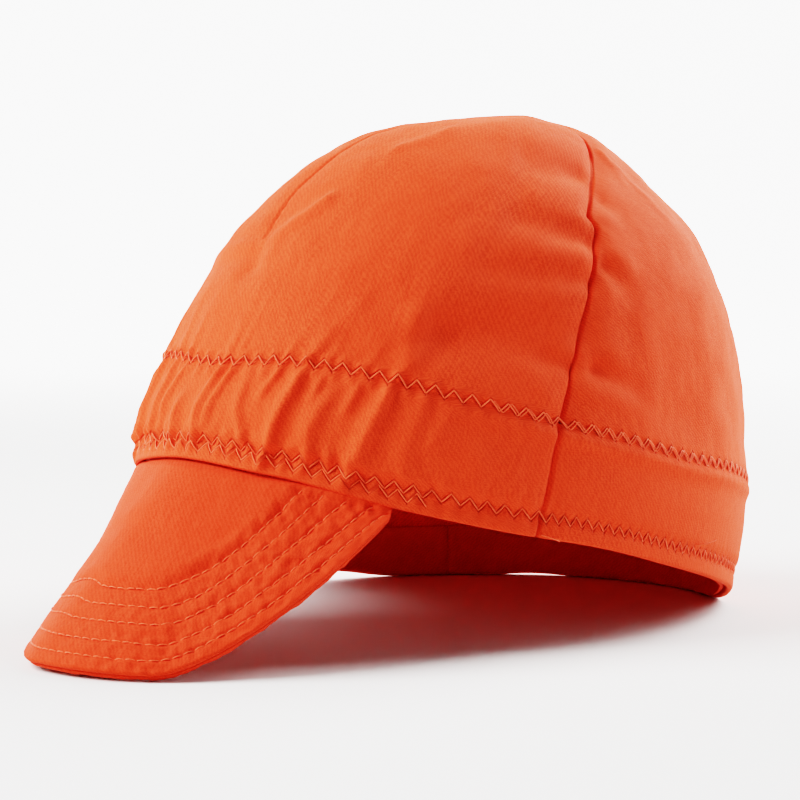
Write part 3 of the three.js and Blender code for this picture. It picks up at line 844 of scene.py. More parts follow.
def beside_thread(tree, turns, height):
    """0 under the thread of a zigzag and 1 away from it."""
    wave = add(tree, "ShaderNodeMath", {"operation": "PINGPONG"}, {0: turns, 1: 0.5}).outputs[0]
    legs = {0: wave, 1: 2 * ZIGZAG_HEIGHT, 2: -ZIGZAG_HEIGHT / 2}
    line = add(tree, "ShaderNodeMath", PRODUCT_AND_SUM, legs).outputs[0]
    above = add(tree, "ShaderNodeMath", DIFFERENCE, {0: height, 1: line}).outputs[0]
    away = add(tree, "ShaderNodeMath", {"operation": "ABSOLUTE"}, {0: above}).outputs[0]
    slope = np.cos(np.arctan(2 * ZIGZAG_HEIGHT / ZIGZAG_PITCH))
    ends = {"From Min": TRENCH_FLOOR / slope, "From Max": TRENCH_HALF_WIDTH / slope}
    return add(tree, "ShaderNodeMapRange", EASED, {"Value": away, **ends}).outputs["Result"]


def zigzag_trenches(tree):
    """0 in the trenches of both zigzags and 1 away from them."""
    upper, lower = (
        add(
            tree,
            "ShaderNodeSeparateXYZ",
            None,
            {"Vector": add(tree, "ShaderNodeAttribute", {"attribute_name": row}).outputs["Vector"]},
        ).outputs
        for row in ("upper_row", "lower_row")
    )
    first = beside_thread(tree, lower["X"], lower["Y"])
    shift = SECOND_ROW_SHIFT / ZIGZAG_PITCH
    turns = add(tree, "ShaderNodeMath", DIFFERENCE, {0: lower["X"], 1: shift}).outputs[0]
    height = add(tree, "ShaderNodeMath", SUM, {0: lower["Y"], 1: SECOND_ROW_DROP}).outputs[0]
    second = beside_thread(tree, turns, height)
    once = add(tree, "ShaderNodeMath", DIFFERENCE, {0: 1.0, 1: lower["Z"]}).outputs[0]
    second = add(tree, "ShaderNodeMath", {"operation": "MAXIMUM"}, {0: second, 1: once}).outputs[0]
    trench = add(tree, "ShaderNodeMath", PRODUCT, {0: first, 1: second}).outputs[0]
    over_upper = beside_thread(tree, upper["X"], upper["Y"])
    return add(tree, "ShaderNodeMath", PRODUCT, {0: trench, 1: over_upper}).outputs[0]


print("trenches (mm):", TRENCH_DEPTH / MM, "deep,", 2 * TRENCH_HALF_WIDTH, "wide")

# %% [markdown]
# ## The three cloths
# The dyed cotton is matt, so it gets a high roughness, a low specular level and a little sheen for
# its fuzz. A small share of its light comes through from behind, as it does in any thin cloth. The
# bill's cloth is the crown's twill in darker, redder colours, as painted shade, and the inside is a
# little redder than the crown. All three have the same weave.

# %% Cotton twill
# Painted shade: the dark red that the cloth is mixed towards in the zigzags' trenches, for the thread's
# contact shadow.
TRENCH_SHADE_COLOUR = "#b0280c"
FUZZ_COLOUR = "#ffa47c"
HOLLOW_HEIGHT, CREST_HEIGHT = 1.5, 2.4  # relief of the darkest hollows and of the lightest yarns


def cotton_twill(name, dyed, raised, sunk, sheen, through, sewn=False):
    """Orange cotton twill in three close colours: its dye, its raised yarns and its hollows."""
    material = bpy.data.materials.new(name)
    material.use_nodes = True
    tree = material.node_tree
    tree.nodes.clear()
    cloth = add(tree, "ShaderNodeUVMap", {"uv_map": "cloth"}).outputs["UV"]
    relief = twill_relief(tree, cloth)
    stops = {"Value": relief, "From Min": HOLLOW_HEIGHT, "From Max": CREST_HEIGHT}
    crest = add(tree, "ShaderNodeMapRange", EASED, stops).outputs["Result"]
    yarns = {"Factor": crest, 6: linear(sunk), 7: linear(raised)}
    yarn_colour = add(tree, "ShaderNodeMix", COLOURS, yarns).outputs[2]
    dye = streaks(tree, cloth, DYE_PATCH, DYE_PATCH, 3.0)
    stops = {"Value": dye, "From Min": 0.3, "From Max": 0.7, "To Min": 0.3, "To Max": 0.55}
    even = add(tree, "ShaderNodeMapRange", EASED, stops).outputs["Result"]
    dyes = {"Factor": even, 6: yarn_colour, 7: linear(dyed)}
    colour = add(tree, "ShaderNodeMix", COLOURS, dyes).outputs[2]
    weave = {"Height": relief, "Strength": 0.9, "Distance": YARN_HEIGHT}
    bump = add(tree, "ShaderNodeBump", None, weave).outputs["Normal"]
    if sewn:
        trench = zigzag_trenches(tree)
        pulled_in = {"Height": trench, "Strength": 1.0, "Distance": TRENCH_DEPTH, "Normal": bump}
        bump = add(tree, "ShaderNodeBump", None, pulled_in).outputs["Normal"]
        # Painted shade in the trenches: under each leg of a zigzag the cloth's colour is mixed towards a
        # dark red.
        stops = {"Value": trench, "To Min": 0.45, "To Max": 0.0}
        shaded = add(tree, "ShaderNodeMapRange", EASED, stops).outputs["Result"]
        shades = {"Factor": shaded, 6: colour, 7: linear(TRENCH_SHADE_COLOUR)}
        colour = add(tree, "ShaderNodeMix", COLOURS, shades).outputs[2]
    stops = {"Value": relief, "From Min": 1.4, "From Max": 2.2, "To Min": 0.92, "To Max": 0.8}
    roughness = add(tree, "ShaderNodeMapRange", EASED, stops).outputs["Result"]
    shader = add(
        tree,
        "ShaderNodeBsdfPrincipled",
        None,
        {
            "Base Color": colour,
            "Roughness": roughness,
            "Normal": bump,
            "Specular IOR Level": 0.25,
            "Sheen Weight": sheen,
            "Sheen Roughness": 0.5,
            "Sheen Tint": linear(FUZZ_COLOUR),
        },
    ).outputs["BSDF"]
    from_behind = {"Color": colour, "Normal": bump}
    lit_through = add(tree, "ShaderNodeBsdfTranslucent", None, from_behind).outputs["BSDF"]
    both = {"Fac": through, 1: shader, 2: lit_through}
    thin = add(tree, "ShaderNodeMixShader", None, both).outputs["Shader"]
    add(tree, "ShaderNodeOutputMaterial", None, {"Surface": thin})
    print(name, "has", len(tree.nodes), "nodes")
    return material


crown_twill = cotton_twill("cotton_twill_crown", "#f04b27", "#fa5a34", "#cc3a1c", 0.16, 0.12, sewn=True)
# The bill's cloth is the crown's twill with darker, redder colours: painted shade.
shaded_bill_twill = cotton_twill("cotton_twill_bill_shaded", "#e6401d", "#f04c29", "#c23213", 0.12, 0.08)
inner_twill = cotton_twill("cotton_twill_inside", "#e8441f", "#f04e28", "#d43615", 0.05, 0.12)

# %% [markdown]
# ## Sewing thread
# The thread is spun polyester in the cloth's own orange. It is smoother and a little lighter than
# the cloth, so it takes a soft highlight that the cotton doesn't. The noise over it stands for its
# two plies, which are wound round each other about every 0.6 mm.

# %% Sewing thread
THREAD_TWIST = 0.6 * MM
PLY_HEIGHT = 0.05 * MM
thread_finish = bpy.data.materials.new("polyester_thread_orange")
thread_finish.use_nodes = True
tree = thread_finish.node_tree
tree.nodes.clear()
place = add(tree, "ShaderNodeTexCoord").outputs["Object"]
plies = {"Vector": place, "Scale": 1 / THREAD_TWIST, "Detail": 1.0}
plies = add(tree, "ShaderNodeTexNoise", None, plies).outputs["Fac"]
colours = {"Factor": plies, 6: linear("#ee4a24"), 7: linear("#fb6c40")}
colour = add(tree, "ShaderNodeMix", COLOURS, colours).outputs[2]
wound = {"Height": plies, "Strength": 0.5, "Distance": PLY_HEIGHT}
bump = add(tree, "ShaderNodeBump", None, wound).outputs["Normal"]
thread_look = {
    "Base Color": colour,
    "Roughness": 0.6,
    "Normal": bump,
    "Specular IOR Level": 0.4,
    "Sheen Weight": 0.15,
}
shader = add(tree, "ShaderNodeBsdfPrincipled", None, thread_look).outputs["BSDF"]
add(tree, "ShaderNodeOutputMaterial", None, {"Surface": shader})
print("thread twist (mm):", THREAD_TWIST / MM)

# %% [markdown]
# ## The two crown panels
# The rows of points lie close together at the hem and at the two zigzags, where the cloth changes
# over a millimetre or two, and further apart over the crown.

# %% Crown panels
FRONT_COLUMNS = 270
BACK_COLUMNS = 270
LEAST_WALL = 0.7  # mm
HEM_ROWS = [0.0, 0.2, 0.5, 0.8, 1.2]  # mm above the hem edge
LEVEL_STRETCHES = [(0.045, 0.3, 19), (0.3, 0.86, 19), (0.86, 1.3, 30)]  # from, to, points with both ends
CROWN_LEVELS = np.linspace(1.3, TOP_LEVEL, 88)
PANEL_LEVELS = np.concatenate([np.linspace(*stretch)[:-1] for stretch in LEVEL_STRETCHES] + [CROWN_LEVELS])


def panel_levels(angle):
    """Levels of a column's points: a few by height at the hem, and then by the table."""
    hem = np.stack([level_of_height(angle, height) for height in HEM_ROWS], axis=-1)
    rest = np.broadcast_to(PANEL_LEVELS, (*angle.shape, len(PANEL_LEVELS)))
    return np.concatenate([hem, rest], axis=-1)


RIM_WAVE = 0.4  # mm
WAVE_FROM, WAVE_TO = (196, 206), (252, 262)  # degrees over which the wave comes and goes
LONG_WAVES, SHORT_WAVES = 9.0, 17.0  # to a whole turn
SHORT_SHARE, SHORT_START = 0.5, 1.0  # the short waves' height beside the long ones', and their start
WAVE_LEVELS = (0.2, 0.7)  # over which the wave dies away upwards


def far_rim_wave(angle, level):
    """The far side of the rim touches the table only in places."""
    turned = np.mod(angle, FULL_TURN)
    here = smooth(*WAVE_FROM, turned) * (1 - smooth(*WAVE_TO, turned))
    turn = np.radians(angle)
    wave = np.sin(turn * LONG_WAVES) + SHORT_SHARE * np.sin(turn * SHORT_WAVES + SHORT_START)
    return RIM_WAVE * here * np.clip(wave, 0, None) * (1 - smooth(*WAVE_LEVELS, level))


def crown_faces(angle, level):
    """The cloth's outer and inner points."""
    plain = plain_point(angle, level)
    out = way_out(angle, level)
    height = level * BAND_HEIGHT * read_rim("band", angle)
    outer = crown_offset(angle, level)
    inner = lining_offset(angle, level)
    outer = np.maximum(outer, inner + LEAST_WALL)
    low = np.clip(HEM_ROUND - height, 0, HEM_ROUND)
    drawn_in = HEM_ROUND - np.sqrt(HEM_ROUND**2 - low**2)
    lift = np.zeros_like(plain)
    lift[..., 2] = far_rim_wave(angle, level)
    outer_point = plain + lift + out * (outer - drawn_in)[..., None]
    inner_point = plain + lift + out * (inner + drawn_in)[..., None]
    return outer_point, inner_point


SHARE_PLACES = 2001
CLOSER_AT_SEAMS, SEAM_SHARE = 2.6, 0.018  # how much closer the columns lie there, and how far round
CLOSER_AT_DART, DART_SHARE, DART_PLACE = 0.8, 0.03, 0.445


def column_shares(columns):
    """Shares across a panel, closer together at its seams and at its dart."""
    places = np.linspace(0, 1, SHARE_PLACES)
    at_seams = bell(places, SEAM_SHARE) + bell(1 - places, SEAM_SHARE)
    at_dart = bell(places - DART_PLACE, DART_SHARE)
    density = 1 + CLOSER_AT_SEAMS * at_seams + CLOSER_AT_DART * at_dart
    count = np.concatenate([[0], np.cumsum((density[1:] + density[:-1]) / 2)])
    return np.interp(np.linspace(0, count[-1], columns + 1), count, places)


def sewn_rows(angle, level):
    """For each zigzag: turns along it, millimetres above it, and 1 where it was sewn twice."""
    top = BAND_HEIGHT * read_rim("band", angle)
    height = np.where(level < 1, level * top, top + (level - 1) * LEVEL_OVER_BAND)
    twice = 1 - smooth(TWICE_UP_TO - 0.5, TWICE_UP_TO + 0.5, away_from_front(angle))
    rows = {}
    for label, run, pitch, row_height, sewn_twice in (
        ("upper_row", UPPER_RUN, UPPER_PITCH, top, 0 * twice),
        ("lower_row", LOWER_RUN, LOWER_PITCH, LOWER_ROW_HEIGHT, twice),
    ):
        turns = (length_at(run, angle) - np.where(angle < 0, run[1][-1], 0)) / pitch
        rows[label] = np.stack([turns, height - row_height, sewn_twice], axis=-1)
    return rows


def crown_panel(name, columns, first_at, last_at, shift):
    """A panel of the crown between two seams, each given as its angle at any level."""
    share = column_shares(columns)[:, None]
    guess = float(first_at(0.5)) + (float(last_at(0.5)) - float(first_at(0.5))) * share[:, 0]
    level = panel_levels(guess)
    angle = first_at(level) + (last_at(level) - first_at(level)) * share
    hem_levels = panel_levels(angle[:, 0])[:, : len(HEM_ROWS)]
    level = np.concatenate([hem_levels, level[:, len(HEM_ROWS) :]], axis=1)
    outer, inner = crown_faces(angle, level)
    return cloth_piece(name, outer, inner, crown_twill, shift, sewn_rows(angle, level))


def right_seam(level):
    """The right side seam's angle, as the front panel counts it."""
    return -seam_angle(level)


def right_seam_from_behind(level):
    """The same seam's angle, as the back panel counts it."""
    return FULL_TURN - seam_angle(level)


crown_front = crown_panel("crown_front_cloth", FRONT_COLUMNS, right_seam, seam_angle, (0, 0, 0))
crown_back = crown_panel(
    "crown_back_cloth", BACK_COLUMNS, seam_angle, right_seam_from_behind, (0, SEWN_GAP, 0)
)

# %% [markdown]
# ## The turned-up hem inside
# The hem allowance is folded up inside the rim and held by the lower zigzag. Seen from below it is a
# band of about 18 mm with a raw edge and one join.

# %% Hem facing
FACING_COLUMNS = 420
FACING_JOIN_ANGLE = 232.0
FACING_LOW = [1.0, 1.15, 1.5, 2.2]  # mm above the hem edge
FACING_EVEN_FROM, FACING_EVEN_ROWS = 3, 14  # mm above the hem edge, and rows of points from there
FACING_LAST_STEP = 0.6  # mm between the last two rows of points
RIPPLE_HEIGHT, RIPPLE_STITCHES, RIPPLE_SLANT = 0.2, 2.3, 0.6  # mm, stitches to a ripple, turns to a mm
RIPPLE_MIDDLE, RIPPLE_SPREAD = 9, 7  # mm above the hem edge
FACING_GROOVE, FACING_GROOVE_WIDTH = 0.25, 1.6  # mm
RAW_EDGE, RAW_EDGE_WIDTH = 0.35, 3  # mm that the raw edge lies further out, and over how many
JOIN_HEIGHT, JOIN_PLACE, JOIN_WIDTH = 0.5, 2.0, 1.2  # mm
MM_PER_DEGREE = 1.6  # round the rim

around = np.linspace(FACING_JOIN_ANGLE, FACING_JOIN_ANGLE + FULL_TURN, FACING_COLUMNS + 1)[:, None]
even_rows = np.linspace(FACING_EVEN_FROM, FACING_HEIGHT - FACING_LAST_STEP, FACING_EVEN_ROWS)
up = np.concatenate([FACING_LOW, even_rows, [FACING_HEIGHT]])
level = level_of_height(around, up[None, :])
out = way_out(around + 0 * level, level)
plain = plain_point(around, level)
plain[..., 2] += far_rim_wave(around, level)
puff = band_puff(around, np.full_like(level, BAND["up"][1]))
turns = 2 * np.pi * length_at(LOWER_RUN, around) / ZIGZAG_PITCH
ripple = RIPPLE_HEIGHT * np.sin(turns / RIPPLE_STITCHES + RIPPLE_SLANT * up)
ripple = ripple * bell(up - RIPPLE_MIDDLE, RIPPLE_SPREAD)
groove = FACING_GROOVE * bell(up - LOWER_ROW_HEIGHT, FACING_GROOVE_WIDTH)
raw_edge = RAW_EDGE * smooth(FACING_HEIGHT - RAW_EDGE_WIDTH, FACING_HEIGHT, up)
to_join = np.minimum(around - FACING_JOIN_ANGLE, FACING_JOIN_ANGLE + FULL_TURN - around)
join = JOIN_HEIGHT * bell(to_join * MM_PER_DEGREE - JOIN_PLACE, JOIN_WIDTH)
outer_offset = puff - (HEM_CLOTH + FACING_GAP + SEAM_SINK / 2)
inner_offset = outer_offset - FACING_CLOTH - ripple + groove - raw_edge - join
outer_face = plain + out * outer_offset[..., None]
inner_face = plain + out * inner_offset[..., None]
hem_facing = cloth_piece("hem_facing_cloth", outer_face, inner_face, inner_twill)

# %% [markdown]
# ## The bill
# The bill is two plies of the same twill, turned right side out and sewn through in five rows that
# follow its edge. The rows press the plies together, and the cloth between them stands up in
# puckers. The distance from the edge is measured for every point, and gives the rows their places.

# %% The bill's form
BILL_THICKNESS = 2 * BILL_PLY + SEAM_GAP
BILL_COLUMNS = 260
BILL_ROWS = 110
BILL_STITCH_ROWS = [4.8, 10.6, 17.6, 23.8, 30.2]  # mm from the bill's outer edge, at its front
ROWS_CLOSE_UP = (  # places across the bill from right to left, and shares by which the rows close up
    [-1, -0.6, -0.33, 0, 0.2, 0.45, 0.7, 0.85, 1],
    [0.4, 0.35, 0.3, 0.02, 0, 0.12, 0.14, 0.24, 0.34],
)
CORNER_EASE = 0.06  # how softly the side edges leave the table
CLOSER_AT_EDGE = 1.25  # power by which the points lie closer together towards the outer edge


def bill_edge(across):
    """The bill's outer edge, from -1 at its right end to 1 at its left."""
    end_forward = RIM_HALF_LENGTH * np.cos(np.radians(BILL_ROOT_ANGLE))
    tip_forward = RIM_HALF_LENGTH + BILL_REACH
    end_lift = RIM_FRONT_LIFT * read_rim("lift", BILL_ROOT_ANGLE)
    turn = across * np.pi / 2
    left = across > 0
    squareness = np.where(left, BILL_LEFT["squareness"], BILL_RIGHT["squareness"])
    down = np.where(left, BILL_LEFT["down"], BILL_RIGHT["down"])
    aside = np.sign(across) * np.abs(np.sin(turn)) ** (2 / squareness)
    forward = np.maximum(np.cos(turn), 0) ** (2 / squareness)
    lifted = 1 - forward / down
    lifted = (lifted + np.sqrt(lifted**2 + CORNER_EASE**2)) / 2
    side = end_lift * lifted**BILL_SIDE_CURVE
    wide = BILL_HALF_WIDTH * aside
    tip = BILL_TIP_LIFT * np.maximum(1 - (wide / BILL_TIP_WIDTH) ** 2, 0)
    reach = end_forward + (tip_forward - end_forward) * forward
    return np.stack([wide + BILL_SKEW * forward, -reach, side + tip], axis=-1)


def bill_between(root, across, along):
    """Points from the root at 0 along to the outer edge at 1, over a line that sags a little."""
    line = bill_edge(across) - root
    sag = BILL_BELLY * np.sin(np.pi * along) ** 2 * (1 - across * across)
    point = root + line * along[..., None]
    point[..., 2] -= sag * np.linalg.norm(line, axis=-1) / BILL_REACH
    return point


def hem_middle(across):
    """The middle of the hem edge's wall, which the bill hangs from."""
    angle = across * BILL_ROOT_ANGLE
    level = np.zeros_like(angle)
    depth = GATHER_DEPTH / 2 * read_band("gather", level) * gather_share(angle)
    ripple = depth * np.sin(gather_turn(angle, level))
    offset = band_puff(angle, level) + ripple - HEM_CLOTH / 2
    hem = plain_point(angle, level) + way_out(angle, level) * offset[..., None]
    hem[..., 2] -= SEAM_GAP
    return hem


def bill_out(across, along):
    """The way out of the bill's upper face, from small steps across it and along it."""
    step = 0.02
    middle = np.clip(across, -1 + step, 1 - step)
    start = np.clip(along, step, 1 - step)
    aside = bill_between(hem_middle(middle + step), middle + step, start)
    aside = aside - bill_between(hem_middle(middle - step), middle - step, start)
    outwards = bill_between(hem_middle(middle), middle, start + step)
    outwards = outwards - bill_between(hem_middle(middle), middle, start - step)
    return unit(np.cross(outwards, aside))


def bill_point(across, along, offset):
    """Points at an offset above the bill's under face."""
    root = hem_middle(across) - bill_out(across, np.zeros_like(across)) * BILL_THICKNESS
    return bill_between(root, across, along) + bill_out(across, along) * offset[..., None]


bill_share = np.linspace(-1, 1, BILL_COLUMNS + 1)
# The columns lie a little closer together towards the bill's two ends.
bill_across = BILL_CUT_END * bill_share * (1 + (1 - bill_share**2) / 4)
bill_along = 1 - (1 - np.linspace(0, 1, BILL_ROWS + 1)) ** CLOSER_AT_EDGE
ACROSS, ALONG = np.meshgrid(bill_across, bill_along, indexing="ij")
edge_line = bill_point(bill_across, np.ones_like(bill_across), np.full_like(bill_across, BILL_THICKNESS))
bill_top_plain = bill_point(ACROSS, ALONG, np.full_like(ACROSS, BILL_THICKNESS))
FROM_EDGE = np.min(
    np.linalg.norm(bill_top_plain[:, :, None, :] - edge_line[None, None, :, :], axis=-1), axis=-1
)
ROW_PLACE = FROM_EDGE / (1 - read_rows(*ROWS_CLOSE_UP, ACROSS))
print("bill: deepest point", round(float(FROM_EDGE.max()), 1), "mm from its edge")

# %% The bill's relief
ROW_GROOVE, ROW_GROOVE_WIDTH = 0.42, 0.7  # mm
ROW_PUFF = 0.2  # mm that the cloth between the rows stands up
MIDDLE_PUFF = 1.3  # mm that the unstitched middle stands proud of the innermost row
CREASE_DEPTH, CREASE_WIDTH = 1.0, 3.0  # mm
CREASE_ALONG, CREASE_WANDER = 0.36, 0.05  # a soft crease runs across the bill here
WANDER_LENGTH = 60  # mm over which the crease wanders to and fro
FAR_SIDE_CALM = 0.85  # share by which the puff and the crease are flatter on the right
CALM_FROM, CALM_TO = -0.1, 0.3  # places to the right over which they grow flatter
PUCKERS = [(0.15, 6.5, 0.6), (0.11, 3.6, 1.0)]  # height and length in mm, share of the height used
LEAST_PUCKER, LEFT_PUCKER = 0.4, 1.5  # share of the puckers everywhere, and what the left side adds
SOFT_RELIEF, SOFT_LENGTH, STITCHED_CALM = 0.35, 34, 0.6  # mm, mm, share lost between the rows
STITCHED_ENDS = (1, 7)  # mm past the innermost row over which the stitched part ends
MIDDLE_RISE = 4.5  # mm past it over which the middle rises
LEFT_FROM, LEFT_TO = 5, 55  # mm to the left over which the puckers grow


def bill_relief(row_place, points, seed):
    """Millimetres that the stitched ply stands out or is pressed in."""
    relief = np.zeros_like(row_place)
    for row in BILL_STITCH_ROWS:
        relief -= ROW_GROOVE * bell(row_place - row, ROW_GROOVE_WIDTH)
    last = BILL_STITCH_ROWS[-1]
    stitched = 1 - smooth(last + STITCHED_ENDS[0], last + STITCHED_ENDS[1], row_place)
    near_side = 1 - FAR_SIDE_CALM * smooth(CALM_FROM, CALM_TO, -ACROSS)
    middle = smooth(last, last + MIDDLE_RISE, row_place)
    relief += ROW_PUFF * stitched + MIDDLE_PUFF * near_side * middle
    wander = CREASE_WANDER * unevenness(points, WANDER_LENGTH, seed + 3)
    crease = bell((ALONG - CREASE_ALONG - wander) * BILL_REACH, CREASE_WIDTH) * (1 - stitched)
    relief -= CREASE_DEPTH * near_side * crease
    pucker = 0.0
    for step, (height, length, squash) in enumerate(PUCKERS):
        pucker = pucker + height * unevenness(points * np.array([1.0, 1.0, squash]), length, seed + step)
    towards_left = smooth(LEFT_FROM, LEFT_TO, points[..., 0])
    relief += pucker * stitched * (LEAST_PUCKER + LEFT_PUCKER * towards_left)
    relief += SOFT_RELIEF * unevenness(points, SOFT_LENGTH, seed + 2) * (1 - stitched * STITCHED_CALM)
    return relief


def edge_rounding(from_edge, radius):
    """Millimetres that a round edge falls away, by the distance from the edge."""
    low = np.clip(radius - from_edge, 0, radius)
    return radius - np.sqrt(np.maximum(radius**2 - low**2, 0))


END_TUCK = 1.8  # mm that the root's two ends go up into the hem
EDGE_RADIUS = 0.95
INNER_EDGE_RADIUS = 0.45  # the plies' inner edges are round too, so a groove runs between them
ROOT_DROP = 0.5  # mm that the upper ply lies lower at its root, under the hem
RELIEF_FROM, DROP_TO, TUCK_TO = 0.06, 0.035, 0.08  # shares of the way from the root to the edge
TUCKED_FROM, TUCKED_TO = 0.45, 0.85  # places across the bill over which the tuck grows
THINNEST_PLY = 0.12
relief_top = bill_relief(ROW_PLACE, bill_top_plain, seed=21)
root_calm = smooth(0.0, RELIEF_FROM, ALONG)
root_drop = ROOT_DROP * (1 - smooth(0.0, DROP_TO, ALONG))
top_offset = BILL_THICKNESS + relief_top * root_calm - edge_rounding(FROM_EDGE, EDGE_RADIUS) - root_drop
seam_offset = BILL_PLY + SEAM_GAP + edge_rounding(FROM_EDGE, INNER_EDGE_RADIUS)
top_offset = np.maximum(top_offset, seam_offset + THINNEST_PLY)


def bill_face(offset):
    """A face of a ply, whose ends are tucked up into the hem at the root."""
    points = bill_point(ACROSS, ALONG, offset)
    tuck = (1 - smooth(0.0, TUCK_TO, ALONG)) * smooth(TUCKED_FROM, TUCKED_TO, np.abs(ACROSS))
    points[..., 2] += END_TUCK * tuck
    return points[::-1]


bill_top = cloth_piece("bill_top_cloth", bill_face(top_offset), bill_face(seam_offset), shaded_bill_twill)
relief_under = bill_relief(ROW_PLACE, bill_top_plain, seed=31)
under_offset = -relief_under * root_calm + edge_rounding(FROM_EDGE, EDGE_RADIUS)
middle_offset = BILL_PLY - edge_rounding(FROM_EDGE, INNER_EDGE_RADIUS)
under_offset = np.minimum(under_offset, middle_offset - THINNEST_PLY)
bill_under = cloth_piece("bill_under_cloth", bill_face(middle_offset), bill_face(under_offset), shaded_bill_twill)

# %% [markdown]
# ## Stitches
# Every stitch is a short arch of thread whose two ends go down into the cloth. There are more than a
# thousand, so Geometry Nodes make them: the tree sweeps one stitch from a circle and an arched line,
# places a copy at each point of a mesh, and stretches and turns it by the point's two attributes.

# %% The stitch tree
ARCH_PLACES = 7
THREAD_SIDES = 6


def stitch_tree():
    """Sweeps one arched stitch, and puts it on each point of a mesh."""
    tree = bpy.data.node_groups.new("stitches_along_a_row", "GeometryNodeTree")
    tree.interface.new_socket("Geometry", in_out="INPUT", socket_type="NodeSocketGeometry")
    for name, size in (("Thread radius", 0.2 * MM), ("Arch", 0.25 * MM), ("Dip", 0.15 * MM)):
        socket = tree.interface.new_socket(name, in_out="INPUT", socket_type="NodeSocketFloat")
        socket.default_value = size
    tree.interface.new_socket("Thread", in_out="INPUT", socket_type="NodeSocketMaterial")
    tree.interface.new_socket("Geometry", in_out="OUTPUT", socket_type="NodeSocketGeometry")
    given = add(tree, "NodeGroupInput").outputs

    ends = {"Start": (0, 0, 0), "End": (1, 0, 0)}
    line = add(tree, "GeometryNodeCurvePrimitiveLine", None, ends).outputs["Curve"]
    places = {"Curve": line, "Count": ARCH_PLACES}
    line = add(tree, "GeometryNodeResampleCurve", None, places).outputs["Curve"]
    place = add(tree, "GeometryNodeInputPosition").outputs["Position"]
    along = add(tree, "ShaderNodeSeparateXYZ", None, {"Vector": place}).outputs["X"]
    half_turn = add(tree, "ShaderNodeMath", PRODUCT, {0: along, 1: np.pi}).outputs[0]
    rise = add(tree, "ShaderNodeMath", SINE, {0: half_turn}).outputs[0]
    arch = add(tree, "ShaderNodeMath", SUM, {0: given["Arch"], 1: given["Dip"]}).outputs[0]
    height = add(tree, "ShaderNodeMath", PRODUCT, {0: rise, 1: arch}).outputs[0]
    dipped = add(tree, "ShaderNodeMath", DIFFERENCE, {0: height, 1: given["Dip"]}).outputs[0]
    up = add(tree, "ShaderNodeCombineXYZ", None, {"Z": dipped}).outputs["Vector"]
    bent = {"Geometry": line, "Offset": up}
    arched = add(tree, "GeometryNodeSetPosition", None, bent).outputs["Geometry"]

    ring = {"Resolution": THREAD_SIDES, "Radius": given["Thread radius"]}
    ring = add(tree, "GeometryNodeCurvePrimitiveCircle", None, ring).outputs["Curve"]
    swept = {"Curve": arched, "Profile Curve": ring, "Fill Caps": True}
    stitch = add(tree, "GeometryNodeCurveToMesh", None, swept).outputs["Mesh"]

    reach, out = (
        add(tree, "GeometryNodeInputNamedAttribute", VECTORS, {"Name": name}).outputs["Attribute"]
        for name in ("reach", "out")
    )
    pointed = add(
        tree, "FunctionNodeAlignRotationToVector", {"axis": "X"}, {"Vector": reach}
    ).outputs["Rotation"]
    turned = add(
        tree,
        "FunctionNodeAlignRotationToVector",
        {"axis": "Z", "pivot_axis": "X"},
        {"Rotation": pointed, "Vector": out},
    ).outputs["Rotation"]
    length = add(tree, "ShaderNodeVectorMath", {"operation": "LENGTH"}, {0: reach}).outputs["Value"]
    scale = add(tree, "ShaderNodeCombineXYZ", None, {"X": length, "Y": 1.0, "Z": 1.0}).outputs["Vector"]
    copies = {"Points": given["Geometry"], "Instance": stitch, "Rotation": turned, "Scale": scale}
    copies = add(tree, "GeometryNodeInstanceOnPoints", None, copies).outputs["Instances"]
    real = add(tree, "GeometryNodeRealizeInstances", None, {"Geometry": copies}).outputs["Geometry"]
    shaded = add(tree, "GeometryNodeSetShadeSmooth", None, {"Geometry": real}).outputs["Geometry"]
    finish = {"Geometry": shaded, "Material": given["Thread"]}
    sewn = add(tree, "GeometryNodeSetMaterial", None, finish).outputs["Geometry"]
    add(tree, "NodeGroupOutput", None, {"Geometry": sewn})
    return tree


STITCHES = stitch_tree()
print("the stitch tree has", len(STITCHES.nodes), "nodes")

# %% Sewing with the tree


def sew(name, starts, ends, outs, radius, arch):
    """Sews a stitch from each start to its end, given in millimetres, and returns the piece."""
    guide = bpy.data.meshes.new(name + "_guide")
    guide.from_pydata(((starts + PART_SHIFT) * MM).tolist(), [], [])
    for label, vectors in (("reach", (ends - starts) * MM), ("out", outs)):
        attribute = guide.attributes.new(label, "FLOAT_VECTOR", "POINT")
        attribute.data.foreach_set("vector", np.asarray(vectors, np.float32).ravel())
    holder = in_scene(name + "_guide", guide)
    modifier = holder.modifiers.new("stitches", "NODES")
    modifier.node_group = STITCHES
    sizes = {"Thread radius": radius * MM, "Arch": arch * MM, "Thread": thread_finish}
    for socket in STITCHES.interface.items_tree:
        if socket.in_out == "INPUT" and socket.name in sizes:
            modifier[socket.identifier] = sizes[socket.name]
    evaluated = holder.evaluated_get(bpy.context.evaluated_depsgraph_get())
    mesh = bpy.data.meshes.new_from_object(evaluated)
    mesh.name = name
    bpy.data.objects.remove(holder)
    bpy.data.meshes.remove(guide)
    print(f"{name}: {len(starts)} stitches, {count_triangles(mesh)} triangles")
    return in_scene(name, mesh)


# %% [markdown]
# ## The two zigzags
# A zigzag machine makes one stitch to each leg. The upper row joins the band to the crown. The lower
# one holds the hem. Over the bill the lower one was run twice, and so was the upper one round the
# back, so their legs cross there.

